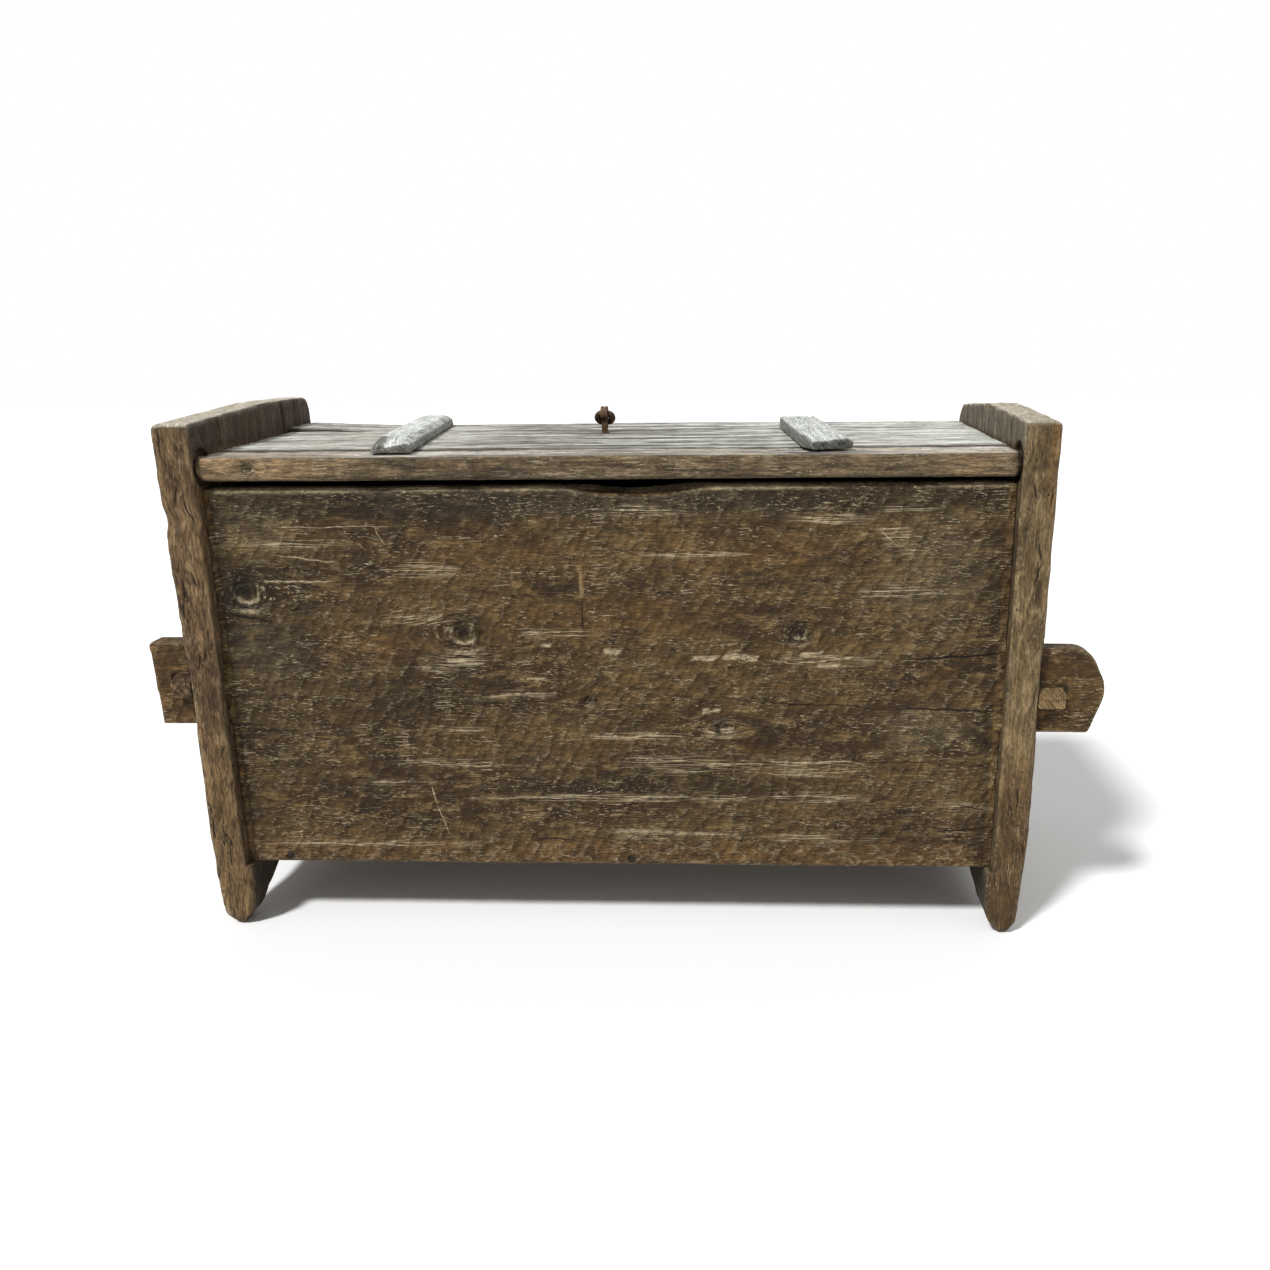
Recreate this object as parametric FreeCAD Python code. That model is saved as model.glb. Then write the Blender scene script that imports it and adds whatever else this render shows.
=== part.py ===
"""Old plank chest, knock-down built: two thick end boards that run down into
feet, wide side planks with wedged through tenons, a housed floor, and a thick
lid that turns on wooden pintles between the end boards.

Millimetres, +Z up, X along the chest, -Y the hinge side.  The origin is on the
ground under the middle of the overall bounding box.
"""
import FreeCAD, Part
import math
import os

V = FreeCAD.Vector

# ---- driving dimensions -----------------------------------------------------
INNER_WIDTH = 1100.0        # clear length between the end boards
DEPTH = 460.0               # front to back over the end boards
END_THICKNESS = 45.0
END_TOP_ROUND = 9.0         # worn outer top arris
END_SIDE_ROUND = 3.0        # worn upright outer arrises
NEAR_CORNER_ROUND = 10.0
LEFT_HEIGHT = 755.0         # crown of the left end board
LEFT_CROWN_RUN = 276.0      # from the hinge side's edge to the crown
LEFT_NEAR_DROP = 14.0       # top corners below the crown
LEFT_FAR_DROP = 2.0
LEFT_FAR_ROUND = 25.0       # worn top corner on the opening side
LEFT_FLARE = 5.5            # thicker at the top, on the outer face
RIGHT_HEIGHT = 746.0
RIGHT_CROWN_RUN = 225.0
RIGHT_NEAR_DROP = 10.0
RIGHT_FAR_DROP = 15.0
RIGHT_FAR_ROUND = 42.0
RIGHT_FLARE = 2.0
FLARE_START = 400.0         # height where the outer face starts to lean out
LEDGE_HEIGHT = 96.0         # seat of planks and floor above the ground
LEDGE_DEPTH = 10.0
FOOT_TAPER = 10.0           # the outer face draws in towards the ground
FOOT_TAPER_HEIGHT = 150.0
FOOT_ROUND = 13.0
LEFT_FOOT_LENGTH = 40.0     # ground contact of one foot, front to back
RIGHT_FOOT_LENGTH = 74.0
ARCH_HEIGHT = 74.0
ARCH_SHOULDER = 38.0        # height where the foot turns into the arch
ARCH_RUN = 96.0             # from the foot to the full arch height

PLANK_THICKNESS = 34.0      # side planks and their tenons
PLANK_RECESS = 20.0         # side planks set back from the end boards' edges
HINGE_PLANK_TOP = 652.0     # at its left end
HINGE_PLANK_RISE = 4.0      # more at its right end
SCOOP_WIDTH = 230.0         # worn dip in the hinge-side plank's top edge
SCOOP_DEPTH = 15.0          # at the outer face, where hands wore it most
SCOOP_BACK_DEPTH = 4.0      # at the inner face
SCOOP_OFFSET = 42.0
PLANK_ARRIS = 4.0

LEFT_TENON_TOP = 437.0
LEFT_TENON_HEIGHT = 124.0
LEFT_TENON_UNDERCUT = 5.0   # its end leans in below
RIGHT_TENON_TOP = 428.0
RIGHT_TENON_HEIGHT = 122.0
LEFT_TENON_LENGTH = 62.0    # beyond the end board
RIGHT_TENON_LENGTH = 94.0
TENON_FIT = 0.4             # play round the tenon in its mortise
RIGHT_WEDGE_WIDTH = 37.0    # where it enters the tenon
RIGHT_WEDGE_HEIGHT = 26.0
RIGHT_WEDGE_SEAT = 346.0    # underside above the ground
LEFT_WEDGE_WIDTH = 29.0
LEFT_WEDGE_HEIGHT = 31.0
LEFT_WEDGE_SEAT = 358.0
WEDGE_TAPER = 0.10          # loss of width per unit length
WEDGE_HEAD = 18.0           # stands out in front of the tenon
WEDGE_TAIL = 24.0           # stands out behind the tenon
WEDGE_PLAY = 0.4            # above the wedge in its slot
WEDGE_BEVEL = 9.0

FLOOR_THICKNESS = 20.0
FLOOR_BOARDS = 3
FLOOR_GAP = 0.6             # between floor boards, and to the planks
NAIL_SIZE = 5.0
NAIL_LENGTH = 70.0
NAIL_HEAD = 10.0
NAIL_HEAD_THICKNESS = 2.0
NAIL_POSITIONS = (-487.0, 25.0)

LID_TOP = 699.0             # above the pivot, before the lid's slope
LID_SLOPE = 0.9             # degrees up from the pivot to the free edge
RAIL_THICKNESS = 36.0
RAIL_LOW_ROUND = 8.0        # near arrises that turn past the plank
RAIL_TOP_ROUND = 6.0
RAIL_DEPTH = 69.0
RAIL_SETBACK = 12.0         # rail's face behind the end boards' edges
LID_PLANK_THICKNESS = 34.0
LID_FREE_BOARD_DEPTH = 110.0
LID_FREE_WARP = 6.0         # the free board's left end has lifted
LID_FREE_WARP_RUN = 190.0   # and comes level this far in
LID_FREE_SETBACK = 3.0
LID_END_PLAY = 2.5          # between the lid and each end board
LID_SEAT_GAP = 0.3          # between the closed lid and the plank under it
PINTLE_DIAMETER = 20.0
PINTLE_LENGTH = 24.0        # into the end board
PINTLE_PLAY = 0.5
PIVOT_SETBACK = 20.0        # pivot behind the rail's face
SHOULDER_DIAMETER = 35.0    # round boss behind the pintle
SHOULDER_LENGTH = 4.0       # into the pocket
POCKET_DIAMETER = 53.0      # shallow round pocket around the socket
POCKET_DEPTH = 6.0

BATTEN_THICKNESS = 19.0
BATTEN_WIDTH = 57.0
BATTEN_BEVEL = 8.0          # loss of width at the top, each side
BATTEN_SETBACK = 6.0        # from the rail's face
LEFT_BATTEN_LENGTH = 412.0
RIGHT_BATTEN_LENGTH = 325.0
LEFT_BATTEN_X = -286.0
RIGHT_BATTEN_X = 296.0
LEFT_BATTEN_TURN = 5.2      # degrees in plan
RIGHT_BATTEN_TURN = 4.0
LEFT_BATTEN_NOSE = 62.0     # run of the thinned near end
RIGHT_BATTEN_NOSE = 22.0
LEFT_BATTEN_TOE = 4.0       # thickness at the tip of the nose
RIGHT_BATTEN_TOE = 11.0
LEFT_BATTEN_SHEAR = 44.0    # the nose starts this much later on the left
RIGHT_BATTEN_SHEAR = 0.0
LEFT_BATTEN_SKEW = 0.0      # the near end is trimmed askew by this much
RIGHT_BATTEN_SKEW = 12.0
PEG_DIAMETER = 9.0
PEG_COUNT = 3
PEG_RISE = 11.0             # up into the batten, in a blind bore
PEG_REACH = 26.0            # into the lid boards
DOWEL_DIAMETER = 12.0
DOWEL_LENGTH = 56.0
DOWEL_COUNT = 4
DOWEL_MARGIN = 130.0        # first and last dowel from the board's ends

EYE_X = -26.0
EYE_Y = 296.0               # from the end boards' edges on the hinge side
EYE_LIFT = 28.0             # eye centre above the lid
EYE_DIAMETER = 21.6
EYE_THICKNESS = 10.0
EYE_HOLE = 12.6
EYE_SEAM_WIDTH = 2.4        # between the folded leaves, at the top
EYE_SEAM_DEPTH = 2.4
SHANK_WIDTH = 10.0          # along the chest
SHANK_DEPTH = 9.0
SHANK_FOOT_WIDTH = 7.5      # where it enters the lid
SPIKE_LENGTH = 26.0         # driven into the lid
SPIKE_TIP = 3.0
RING_WIRE = 9.2
RING_WIDTH = 32.0           # over the wire
RING_PLAY = 0.8             # between the ring and the rim of the eye
RING_CLEARANCE = 0.3        # from the shank where it leans

# ---- places worked out from them ---------------------------------------------
BODY_X = (LEFT_TENON_LENGTH - RIGHT_TENON_LENGTH) / 2
HALF_INNER = INNER_WIDTH / 2
HALF_OUTER = HALF_INNER + END_THICKNESS
Y_NEAR = -DEPTH / 2
Y_FAR = DEPTH / 2
NEAR_PLANK_Y = Y_NEAR + PLANK_RECESS
FAR_PLANK_Y = Y_FAR - PLANK_RECESS - PLANK_THICKNESS
RAIL_Y = Y_NEAR + RAIL_SETBACK
PIVOT_Y = RAIL_Y + PIVOT_SETBACK
PIVOT_Z = LID_TOP - RAIL_THICKNESS / 2
MAIN_Y = RAIL_Y + RAIL_DEPTH
FREE_Y = Y_FAR - LID_FREE_SETBACK - LID_FREE_BOARD_DEPTH
LID_HALF = HALF_INNER - LID_END_PLAY
LID_UNDER = LID_TOP - LID_PLANK_THICKNESS
SLOPE = math.radians(LID_SLOPE)
OPENING_PLANK_TOP = (PIVOT_Z + (FAR_PLANK_Y - PIVOT_Y) * math.tan(SLOPE)
                     - (PIVOT_Z - LID_UNDER) / math.cos(SLOPE) - LID_SEAT_GAP)
LEFT_END = (LEFT_FOOT_LENGTH, LEFT_HEIGHT, LEFT_CROWN_RUN, LEFT_NEAR_DROP,
            LEFT_FAR_DROP, LEFT_FAR_ROUND, LEFT_FLARE)
RIGHT_END = (RIGHT_FOOT_LENGTH, RIGHT_HEIGHT, RIGHT_CROWN_RUN, RIGHT_NEAR_DROP,
             RIGHT_FAR_DROP, RIGHT_FAR_ROUND, RIGHT_FLARE)
LEFT_TENON = (LEFT_TENON_TOP - LEFT_TENON_HEIGHT, LEFT_TENON_TOP)
RIGHT_TENON = (RIGHT_TENON_TOP - RIGHT_TENON_HEIGHT, RIGHT_TENON_TOP)
DOWEL_Z = LID_TOP - LID_PLANK_THICKNESS / 2
BATTEN_Y = RAIL_Y + BATTEN_SETBACK
EYE_Z = LID_TOP + EYE_LIFT
RIGHT_WEDGE = (RIGHT_WEDGE_WIDTH, RIGHT_WEDGE_HEIGHT, RIGHT_WEDGE_SEAT)
LEFT_WEDGE = (LEFT_WEDGE_WIDTH, LEFT_WEDGE_HEIGHT, LEFT_WEDGE_SEAT)
LEFT_BATTEN = (LEFT_BATTEN_LENGTH, LEFT_BATTEN_X, LEFT_BATTEN_TURN)
RIGHT_BATTEN = (RIGHT_BATTEN_LENGTH, RIGHT_BATTEN_X, RIGHT_BATTEN_TURN)
LEFT_NOSE = (LEFT_BATTEN_NOSE, LEFT_BATTEN_TOE, LEFT_BATTEN_SHEAR, LEFT_BATTEN_SKEW)
RIGHT_NOSE = (RIGHT_BATTEN_NOSE, RIGHT_BATTEN_TOE, RIGHT_BATTEN_SHEAR, RIGHT_BATTEN_SKEW)


# ---- shape helpers -------------------------------------------------------------
def rounded_face(corners):
    """Planar face through corners given as (point, radius)."""
    points = [p for p, _ in corners]
    spans = []
    for i, (p, r) in enumerate(corners):
        back = (points[i - 1] - p).normalize()
        ahead = (points[(i + 1) % len(points)] - p).normalize()
        if r == 0:
            spans.append((p, None, p))
            continue
        half = back.getAngle(ahead) / 2
        run = r / math.tan(half)
        centre = p + (back + ahead).normalize() * (r / math.sin(half))
        middle = centre + (p - centre).normalize() * r
        spans.append((p + back * run, middle, p + ahead * run))
    edges = []
    for i, (start, middle, end) in enumerate(spans):
        if middle is not None:
            edges.append(Part.Arc(start, middle, end).toShape())
        following = spans[(i + 1) % len(spans)][0]
        if (following - end).Length > 1e-6:
            edges.append(Part.LineSegment(end, following).toShape())
    return Part.Face(Part.Wire(edges))


def box(x0, x1, y0, y1, z0, z1):
    return Part.makeBox(x1 - x0, y1 - y0, z1 - z0, V(x0, y0, z0))


def board_along_x(x0, x1, y0, y1, z0, z1, arris):
    """A plank running along X with its four long arrises rounded."""
    section = rounded_face([
        (V(x0, y0, z0), arris),
        (V(x0, y1, z0), arris),
        (V(x0, y1, z1), arris),
        (V(x0, y0, z1), arris),
    ])
    return section.extrude(V(x1 - x0, 0, 0))


def mirror_x(shape):
    """The same shape on the other side of the chest's middle."""
    return shape.mirror(V(BODY_X, 0, 0), V(1, 0, 0))


def mirror_y(shape):
    return shape.mirror(V(0, 0, 0), V(0, 1, 0))


# ---- end boards ----------------------------------------------------------------
def end_side_outline(x, foot_length, height, crown_run, near_drop, far_drop,
                     far_round):
    """Side view of an end board: crowned top, two feet and the arch between."""
    arch_near = Y_NEAR + foot_length
    arch_far = Y_FAR - foot_length
    step = ARCH_SHOULDER * 0.5
    return rounded_face([
        (V(x, Y_NEAR, height - near_drop), NEAR_CORNER_ROUND),
        (V(x, Y_NEAR + crown_run, height), DEPTH * 2),
        (V(x, Y_FAR, height - far_drop), far_round),
        (V(x, Y_FAR, 0), FOOT_ROUND),
        (V(x, arch_far, 0), FOOT_ROUND / 2),
        (V(x, arch_far - step, ARCH_SHOULDER), FOOT_ROUND),
        (V(x, arch_far - ARCH_RUN, ARCH_HEIGHT), DEPTH / 6),
        (V(x, arch_near + ARCH_RUN, ARCH_HEIGHT), DEPTH / 6),
        (V(x, arch_near + step, ARCH_SHOULDER), FOOT_ROUND),
        (V(x, arch_near, 0), FOOT_ROUND / 2),
        (V(x, Y_NEAR, 0), FOOT_ROUND),
    ])


def end_section(height, flare):
    """Front view of the right end board: ledge inside, foot drawn in outside."""
    inner = BODY_X + HALF_INNER
    outer = BODY_X + HALF_OUTER
    ledge = inner - LEDGE_DEPTH
    toe_in = ledge + FOOT_ROUND
    toe_out = outer - FOOT_TAPER
    return rounded_face([
        (V(inner, Y_NEAR, height), 0),
        (V(outer + flare, Y_NEAR, height), 0),
        (V(outer, Y_NEAR, FLARE_START), DEPTH),
        (V(outer, Y_NEAR, FOOT_TAPER_HEIGHT), DEPTH),
        (V(toe_out, Y_NEAR, 0), FOOT_ROUND),
        (V(toe_in, Y_NEAR, 0), FOOT_ROUND),
        (V(ledge, Y_NEAR, LEDGE_HEIGHT / 2), DEPTH / 12),
        (V(ledge, Y_NEAR, LEDGE_HEIGHT), 0),
        (V(inner, Y_NEAR, LEDGE_HEIGHT), 0),
    ])


def end_upright(height, flare):
    """The front view drawn out over the depth, its upright arrises worn."""
    upright = end_section(height, flare).extrude(V(0, DEPTH, 0))
    arrises = [e for e in upright.Edges
               if e.BoundBox.YLength < 1
               and e.BoundBox.ZMin > FLARE_START
               and e.BoundBox.ZLength > HALF_INNER / 4
               and e.BoundBox.XMin > BODY_X + HALF_INNER + 1]
    return upright.makeFillet(END_SIDE_ROUND, arrises)


def hinge_pocket():
    """Shallow round pocket and deeper pintle socket in the right end board."""
    centre = V(BODY_X + HALF_INNER - 1, PIVOT_Y, PIVOT_Z)
    pocket = Part.makeCylinder(
        POCKET_DIAMETER / 2, POCKET_DEPTH + 1, centre, V(1, 0, 0))
    socket = Part.makeCylinder(
        PINTLE_DIAMETER / 2 + PINTLE_PLAY,
        PINTLE_LENGTH + PINTLE_PLAY + 1, centre, V(1, 0, 0))
    return pocket.fuse(socket)


def tenon_mortise(plank_y, tenon):
    low, top = tenon
    reach = max(LEFT_FLARE, RIGHT_FLARE) + 1
    return box(BODY_X + HALF_INNER - LEDGE_DEPTH - 1, BODY_X + HALF_OUTER + reach,
               plank_y - TENON_FIT, plank_y + PLANK_THICKNESS + TENON_FIT,
               low - TENON_FIT, top + TENON_FIT)


def end_crown(height, crown_run, near_drop, far_drop, flare):
    """Block under the crowned top, its outer top arris rounded."""
    inner = BODY_X + HALF_INNER - LEDGE_DEPTH - 1
    outer = BODY_X + HALF_OUTER + flare
    side = rounded_face([
        (V(inner, Y_NEAR, height - near_drop), 0),
        (V(inner, Y_NEAR + crown_run, height), DEPTH * 2),
        (V(inner, Y_FAR, height - far_drop), 0),
        (V(inner, Y_FAR, 0), 0),
        (V(inner, Y_NEAR, 0), 0),
    ])
    block = side.extrude(V(outer - inner, 0, 0))
    top_arris = [e for e in block.Edges
                 if e.BoundBox.XMin > outer - 0.01
                 and e.BoundBox.ZMin > height - near_drop - far_drop - 1
                 and e.BoundBox.YLength > 1]
    return block.makeFillet(END_TOP_ROUND, top_arris)


def right_end_board(tenon, foot_length, height, crown_run, near_drop, far_drop,
                    far_round, flare):
    """An end board in the right one's place; tenon is (lowest, highest)."""
    side = end_side_outline(BODY_X + HALF_INNER - LEDGE_DEPTH - 1, foot_length,
                            height, crown_run, near_drop, far_drop, far_round)
    blank = side.extrude(V(END_THICKNESS + LEDGE_DEPTH + flare + 2, 0, 0))
    board = blank.common(end_upright(height, flare))
    board = board.common(end_crown(height, crown_run, near_drop, far_drop, flare))
    board = board.cut(hinge_pocket())
    board = board.cut(tenon_mortise(NEAR_PLANK_Y, tenon))
    return board.cut(tenon_mortise(FAR_PLANK_Y, tenon))


# ---- side planks and wedges ------------------------------------------------------
def right_tenon(y):
    """Through tenon with a broad, round-ended tongue."""
    root = BODY_X + HALF_INNER - PLANK_ARRIS
    tip = BODY_X + HALF_OUTER + RIGHT_TENON_LENGTH
    low, top = RIGHT_TENON
    belly = RIGHT_TENON_HEIGHT * 0.42
    face = rounded_face([
        (V(root, y, low), 0),
        (V(tip - RIGHT_TENON_LENGTH * 0.2, y, low), PLANK_ARRIS),
        (V(tip, y, low + belly), RIGHT_TENON_HEIGHT * 0.25),
        (V(tip, y, top - belly), RIGHT_TENON_HEIGHT * 0.28),
        (V(tip - RIGHT_TENON_LENGTH * 0.25, y, top), RIGHT_TENON_HEIGHT * 0.28),
        (V(root, y, top), 0),
    ])
    return face.extrude(V(0, PLANK_THICKNESS, 0))


def left_tenon(y):
    """Through tenon with a square, slightly undercut end."""
    root = BODY_X - HALF_INNER + PLANK_ARRIS
    tip = BODY_X - HALF_OUTER - LEFT_TENON_LENGTH
    low, top = LEFT_TENON
    face = rounded_face([
        (V(root, y, low), 0),
        (V(tip + LEFT_TENON_UNDERCUT, y, low), PLANK_ARRIS),
        (V(tip, y, top), PLANK_ARRIS * 1.5),
        (V(root, y, top), 0),
    ])
    return face.extrude(V(0, PLANK_THICKNESS, 0))


def scoop(top, y):
    """Hollow worn into a plank's top edge, sloping down to the outer face."""
    radius = (SCOOP_WIDTH ** 2 / 4 + SCOOP_DEPTH ** 2) / (2 * SCOOP_DEPTH)
    along = V(0, PLANK_THICKNESS, SCOOP_DEPTH - SCOOP_BACK_DEPTH)
    upright = V(0, -along.z, along.y).normalize()
    low = V(BODY_X + SCOOP_OFFSET, y, top - SCOOP_DEPTH)
    start = low - along + upright * radius
    return Part.makeCylinder(radius, along.Length * 3, start, along)


def wedge_slot(width, height, seat):
    """Slot through the right hinge-side tenon, its outer wall on the taper."""
    y0 = NEAR_PLANK_Y
    y1 = NEAR_PLANK_Y + PLANK_THICKNESS
    inner = BODY_X + HALF_OUTER - END_THICKNESS / 10
    near = BODY_X + HALF_OUTER + width
    far = near - WEDGE_TAPER * PLANK_THICKNESS
    face = rounded_face([
        (V(inner, y0, seat), 0),
        (V(near, y0, seat), 0),
        (V(far, y1, seat), 0),
        (V(inner, y1, seat), 0),
    ])
    return face.extrude(V(0, 0, height + WEDGE_PLAY))


def wedge(width, height, seat):
    """Wedge in the right hinge-side tenon: thick head out, thin tail in."""
    inner = BODY_X + HALF_OUTER
    y_head = NEAR_PLANK_Y - WEDGE_HEAD
    y_tail = NEAR_PLANK_Y + PLANK_THICKNESS + WEDGE_TAIL
    near = inner + width + WEDGE_TAPER * WEDGE_HEAD
    far = inner + width - WEDGE_TAPER * (PLANK_THICKNESS + WEDGE_TAIL)
    plan = rounded_face([
        (V(inner, y_head, seat), 0),
        (V(near, y_head, seat), PLANK_ARRIS),
        (V(far, y_tail, seat), PLANK_ARRIS),
        (V(inner, y_tail, seat), 0),
    ])
    top = seat + height
    side = rounded_face([
        (V(inner - 1, y_head, seat), 0),
        (V(inner - 1, y_tail, seat), 0),
        (V(inner - 1, y_tail, top - WEDGE_BEVEL), 0),
        (V(inner - 1, y_tail - WEDGE_BEVEL * 2, top), 0),
        (V(inner - 1, y_head + WEDGE_HEAD * 0.9, top), 0),
        (V(inner - 1, y_head, top - WEDGE_BEVEL), 0),
    ])
    bar = plan.extrude(V(0, 0, height))
    return bar.common(side.extrude(V(near - inner + 2, 0, 0)))


def side_plank(y, left_top, right_top):
    """Plank between the end boards with a tenon at each end."""
    left = BODY_X - HALF_INNER
    right = BODY_X + HALF_INNER
    face = rounded_face([
        (V(left, y, LEDGE_HEIGHT), 0),
        (V(right, y, LEDGE_HEIGHT), 0),
        (V(right, y, right_top), 0),
        (V(left, y, left_top), 0),
    ])
    body = face.extrude(V(0, PLANK_THICKNESS, 0))
    arrises = [e for e in body.Edges if e.BoundBox.XLength > HALF_INNER]
    body = body.makeFillet(PLANK_ARRIS, arrises)
    plank = body.fuse(right_tenon(y)).fuse(left_tenon(y)).removeSplitter()
    slots = Part.makeCompound([
        wedge_slot(*RIGHT_WEDGE), mirror_x(wedge_slot(*LEFT_WEDGE))])
    if y == FAR_PLANK_Y:
        slots = mirror_y(slots)
    return plank.cut(slots)


# ---- floor and nails ---------------------------------------------------------------
def floor_board(index):
    y0 = NEAR_PLANK_Y + PLANK_THICKNESS + FLOOR_GAP
    y1 = FAR_PLANK_Y - FLOOR_GAP
    width = (y1 - y0 - FLOOR_GAP * (FLOOR_BOARDS - 1)) / FLOOR_BOARDS
    start = y0 + index * (width + FLOOR_GAP)
    reach = HALF_INNER - FLOOR_GAP
    return board_along_x(BODY_X - reach, BODY_X + reach, start, start + width,
                         LEDGE_HEIGHT, LEDGE_HEIGHT + FLOOR_THICKNESS,
                         PLANK_ARRIS / 4)


def nail(offset):
    """Square forged nail through the hinge-side plank into the floor."""
    x = BODY_X + offset
    y = NEAR_PLANK_Y
    z = LEDGE_HEIGHT + FLOOR_THICKNESS / 2
    half = NAIL_SIZE / 2
    tip = half / 3

    def square(y_at, h):
        return Part.makePolygon([
            V(x - h, y_at, z - h), V(x + h, y_at, z - h),
            V(x + h, y_at, z + h), V(x - h, y_at, z + h),
            V(x - h, y_at, z - h)])

    shank = Part.makeLoft(
        [square(y + NAIL_HEAD_THICKNESS, half), square(y + NAIL_LENGTH, tip)],
        True)
    head = Part.makeLoft(
        [square(y, NAIL_HEAD * 0.36), square(y + NAIL_HEAD_THICKNESS, NAIL_HEAD / 2)],
        True)
    return head.fuse(shank).removeSplitter()


def nails():
    return [nail(offset) for offset in NAIL_POSITIONS]


# ---- lid ------------------------------------------------------------------------------
def pintle(side):
    """Round shoulder and pintle on one end of the hinge rail."""
    start = V(BODY_X + side * (LID_HALF - PLANK_ARRIS), PIVOT_Y, PIVOT_Z)
    reach = LID_END_PLAY + PLANK_ARRIS
    shoulder = Part.makeCylinder(
        SHOULDER_DIAMETER / 2, reach + SHOULDER_LENGTH, start, V(side, 0, 0))
    pin = Part.makeCylinder(
        PINTLE_DIAMETER / 2, reach + PINTLE_LENGTH, start, V(side, 0, 0))
    return shoulder.fuse(pin)


def hinge_rail():
    """The rail, its near arrises rounded so that they turn past the plank."""
    x = BODY_X - LID_HALF
    under = LID_TOP - RAIL_THICKNESS
    section = rounded_face([
        (V(x, RAIL_Y, under), RAIL_LOW_ROUND),
        (V(x, MAIN_Y, under), PLANK_ARRIS),
        (V(x, MAIN_Y, LID_TOP), PLANK_ARRIS / 4),
        (V(x, RAIL_Y, LID_TOP), RAIL_TOP_ROUND),
    ])
    rail = section.extrude(V(2 * LID_HALF, 0, 0))
    return rail.fuse(pintle(-1)).fuse(pintle(1)).removeSplitter()


def main_plank():
    return board_along_x(BODY_X - LID_HALF, BODY_X + LID_HALF, MAIN_Y, FREE_Y,
                         LID_UNDER, LID_TOP, PLANK_ARRIS / 4)


def free_board():
    """Board at the opening side, a little high where its left end warped."""
    left = BODY_X - LID_HALF
    board = board_along_x(left, BODY_X + LID_HALF,
                          FREE_Y, FREE_Y + LID_FREE_BOARD_DEPTH,
                          LID_UNDER, LID_TOP, PLANK_ARRIS / 4)
    y = FREE_Y + PLANK_ARRIS / 2
    lift = rounded_face([
        (V(left, y, LID_UNDER + LID_PLANK_THICKNESS / 2), 0),
        (V(left + LID_FREE_WARP_RUN, y, LID_UNDER + LID_PLANK_THICKNESS / 2), 0),
        (V(left + LID_FREE_WARP_RUN, y, LID_TOP), 0),
        (V(left, y, LID_TOP + LID_FREE_WARP), PLANK_ARRIS / 2),
    ])
    raised = lift.extrude(V(0, LID_FREE_BOARD_DEPTH - PLANK_ARRIS, 0))
    return board.fuse(raised).removeSplitter()


def batten_section(width):
    """Section of a batten about the origin: flat foot, bevelled shoulders."""
    half = width / 2
    shoulder = BATTEN_THICKNESS - BATTEN_BEVEL
    return rounded_face([
        (V(-half, 0, 0), 0),
        (V(half, 0, 0), 0),
        (V(half - BATTEN_BEVEL / 4, 0, shoulder), BATTEN_BEVEL / 2),
        (V(half - BATTEN_BEVEL * 1.5, 0, BATTEN_THICKNESS), BATTEN_BEVEL / 2),
        (V(-half + BATTEN_BEVEL, 0, BATTEN_THICKNESS), BATTEN_BEVEL / 2),
        (V(-half + BATTEN_BEVEL / 4, 0, shoulder), BATTEN_BEVEL / 2),
    ])


def batten_outline(length, skew):
    """Plan of a batten along +Y from the origin: trimmed nose, round far end."""
    half = BATTEN_WIDTH / 2
    nose = [
        (V(-half, skew * 3, 0), 0),
        (V(-half + skew, 0, 0), 0),
        (V(half + skew, skew, 0), 0),
        (V(half, skew * 3, 0), 0),
    ] if skew else [
        (V(-half, 0, 0), 0),
        (V(half, 0, 0), 0),
    ]
    return rounded_face(nose + [
        (V(half, length, 0), BATTEN_WIDTH * 0.2),
        (V(-half, length, 0), BATTEN_WIDTH * 0.4),
    ])


def batten_tail(length, x):
    """Side view of a batten, worn low at its far end."""
    return rounded_face([
        (V(x, -1, 0), 0),
        (V(x, length, 0), 0),
        (V(x, length, BATTEN_THICKNESS - BATTEN_BEVEL / 2), 0),
        (V(x, length - BATTEN_BEVEL * 2, BATTEN_THICKNESS), 0),
        (V(x, -1, BATTEN_THICKNESS), 0),
    ])


def batten_nose(length, nose, toe, x):
    """Side view of a batten, thin at its near end."""
    return rounded_face([
        (V(x, 0, 0), 0),
        (V(x, length * 2, 0), 0),
        (V(x, length * 2, BATTEN_THICKNESS), 0),
        (V(x, nose, BATTEN_THICKNESS), nose / 2),
        (V(x, 0, toe), 0),
    ])


def batten(length, x, turn, nose, toe, shear, skew):
    """Batten with bevelled shoulders and a nose, turned a little in plan."""
    half = BATTEN_WIDTH / 2 + skew
    solid = batten_section(half * 2).extrude(V(0, length, 0))
    outline = batten_outline(length, skew)
    solid = solid.common(outline.extrude(V(0, 0, BATTEN_THICKNESS)))
    solid = solid.common(batten_tail(length, -half).extrude(V(half * 2, 0, 0)))
    thin = batten_nose(length, nose, toe, -half)
    solid = solid.common(thin.extrude(V(half * 2, -shear, 0)))
    solid.rotate(V(0, 0, 0), V(0, 0, 1), turn)
    solid.translate(V(BODY_X + x, BATTEN_Y + BATTEN_WIDTH / 2 * abs(
        math.sin(math.radians(turn))), LID_TOP))
    return solid


def batten_pegs(length, x, turn):
    """Row of blind pegs along a batten's middle, into the boards below."""
    along = V(-math.sin(math.radians(turn)), math.cos(math.radians(turn)), 0)
    foot = V(BODY_X + x, BATTEN_Y, LID_TOP - PEG_REACH)
    first = RAIL_DEPTH * 0.6
    pitch = (length - first - BATTEN_WIDTH / 2) / (PEG_COUNT - 1)
    return [Part.makeCylinder(PEG_DIAMETER / 2, PEG_REACH + PEG_RISE,
                              foot + along * (first + i * pitch))
            for i in range(PEG_COUNT)]


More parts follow.
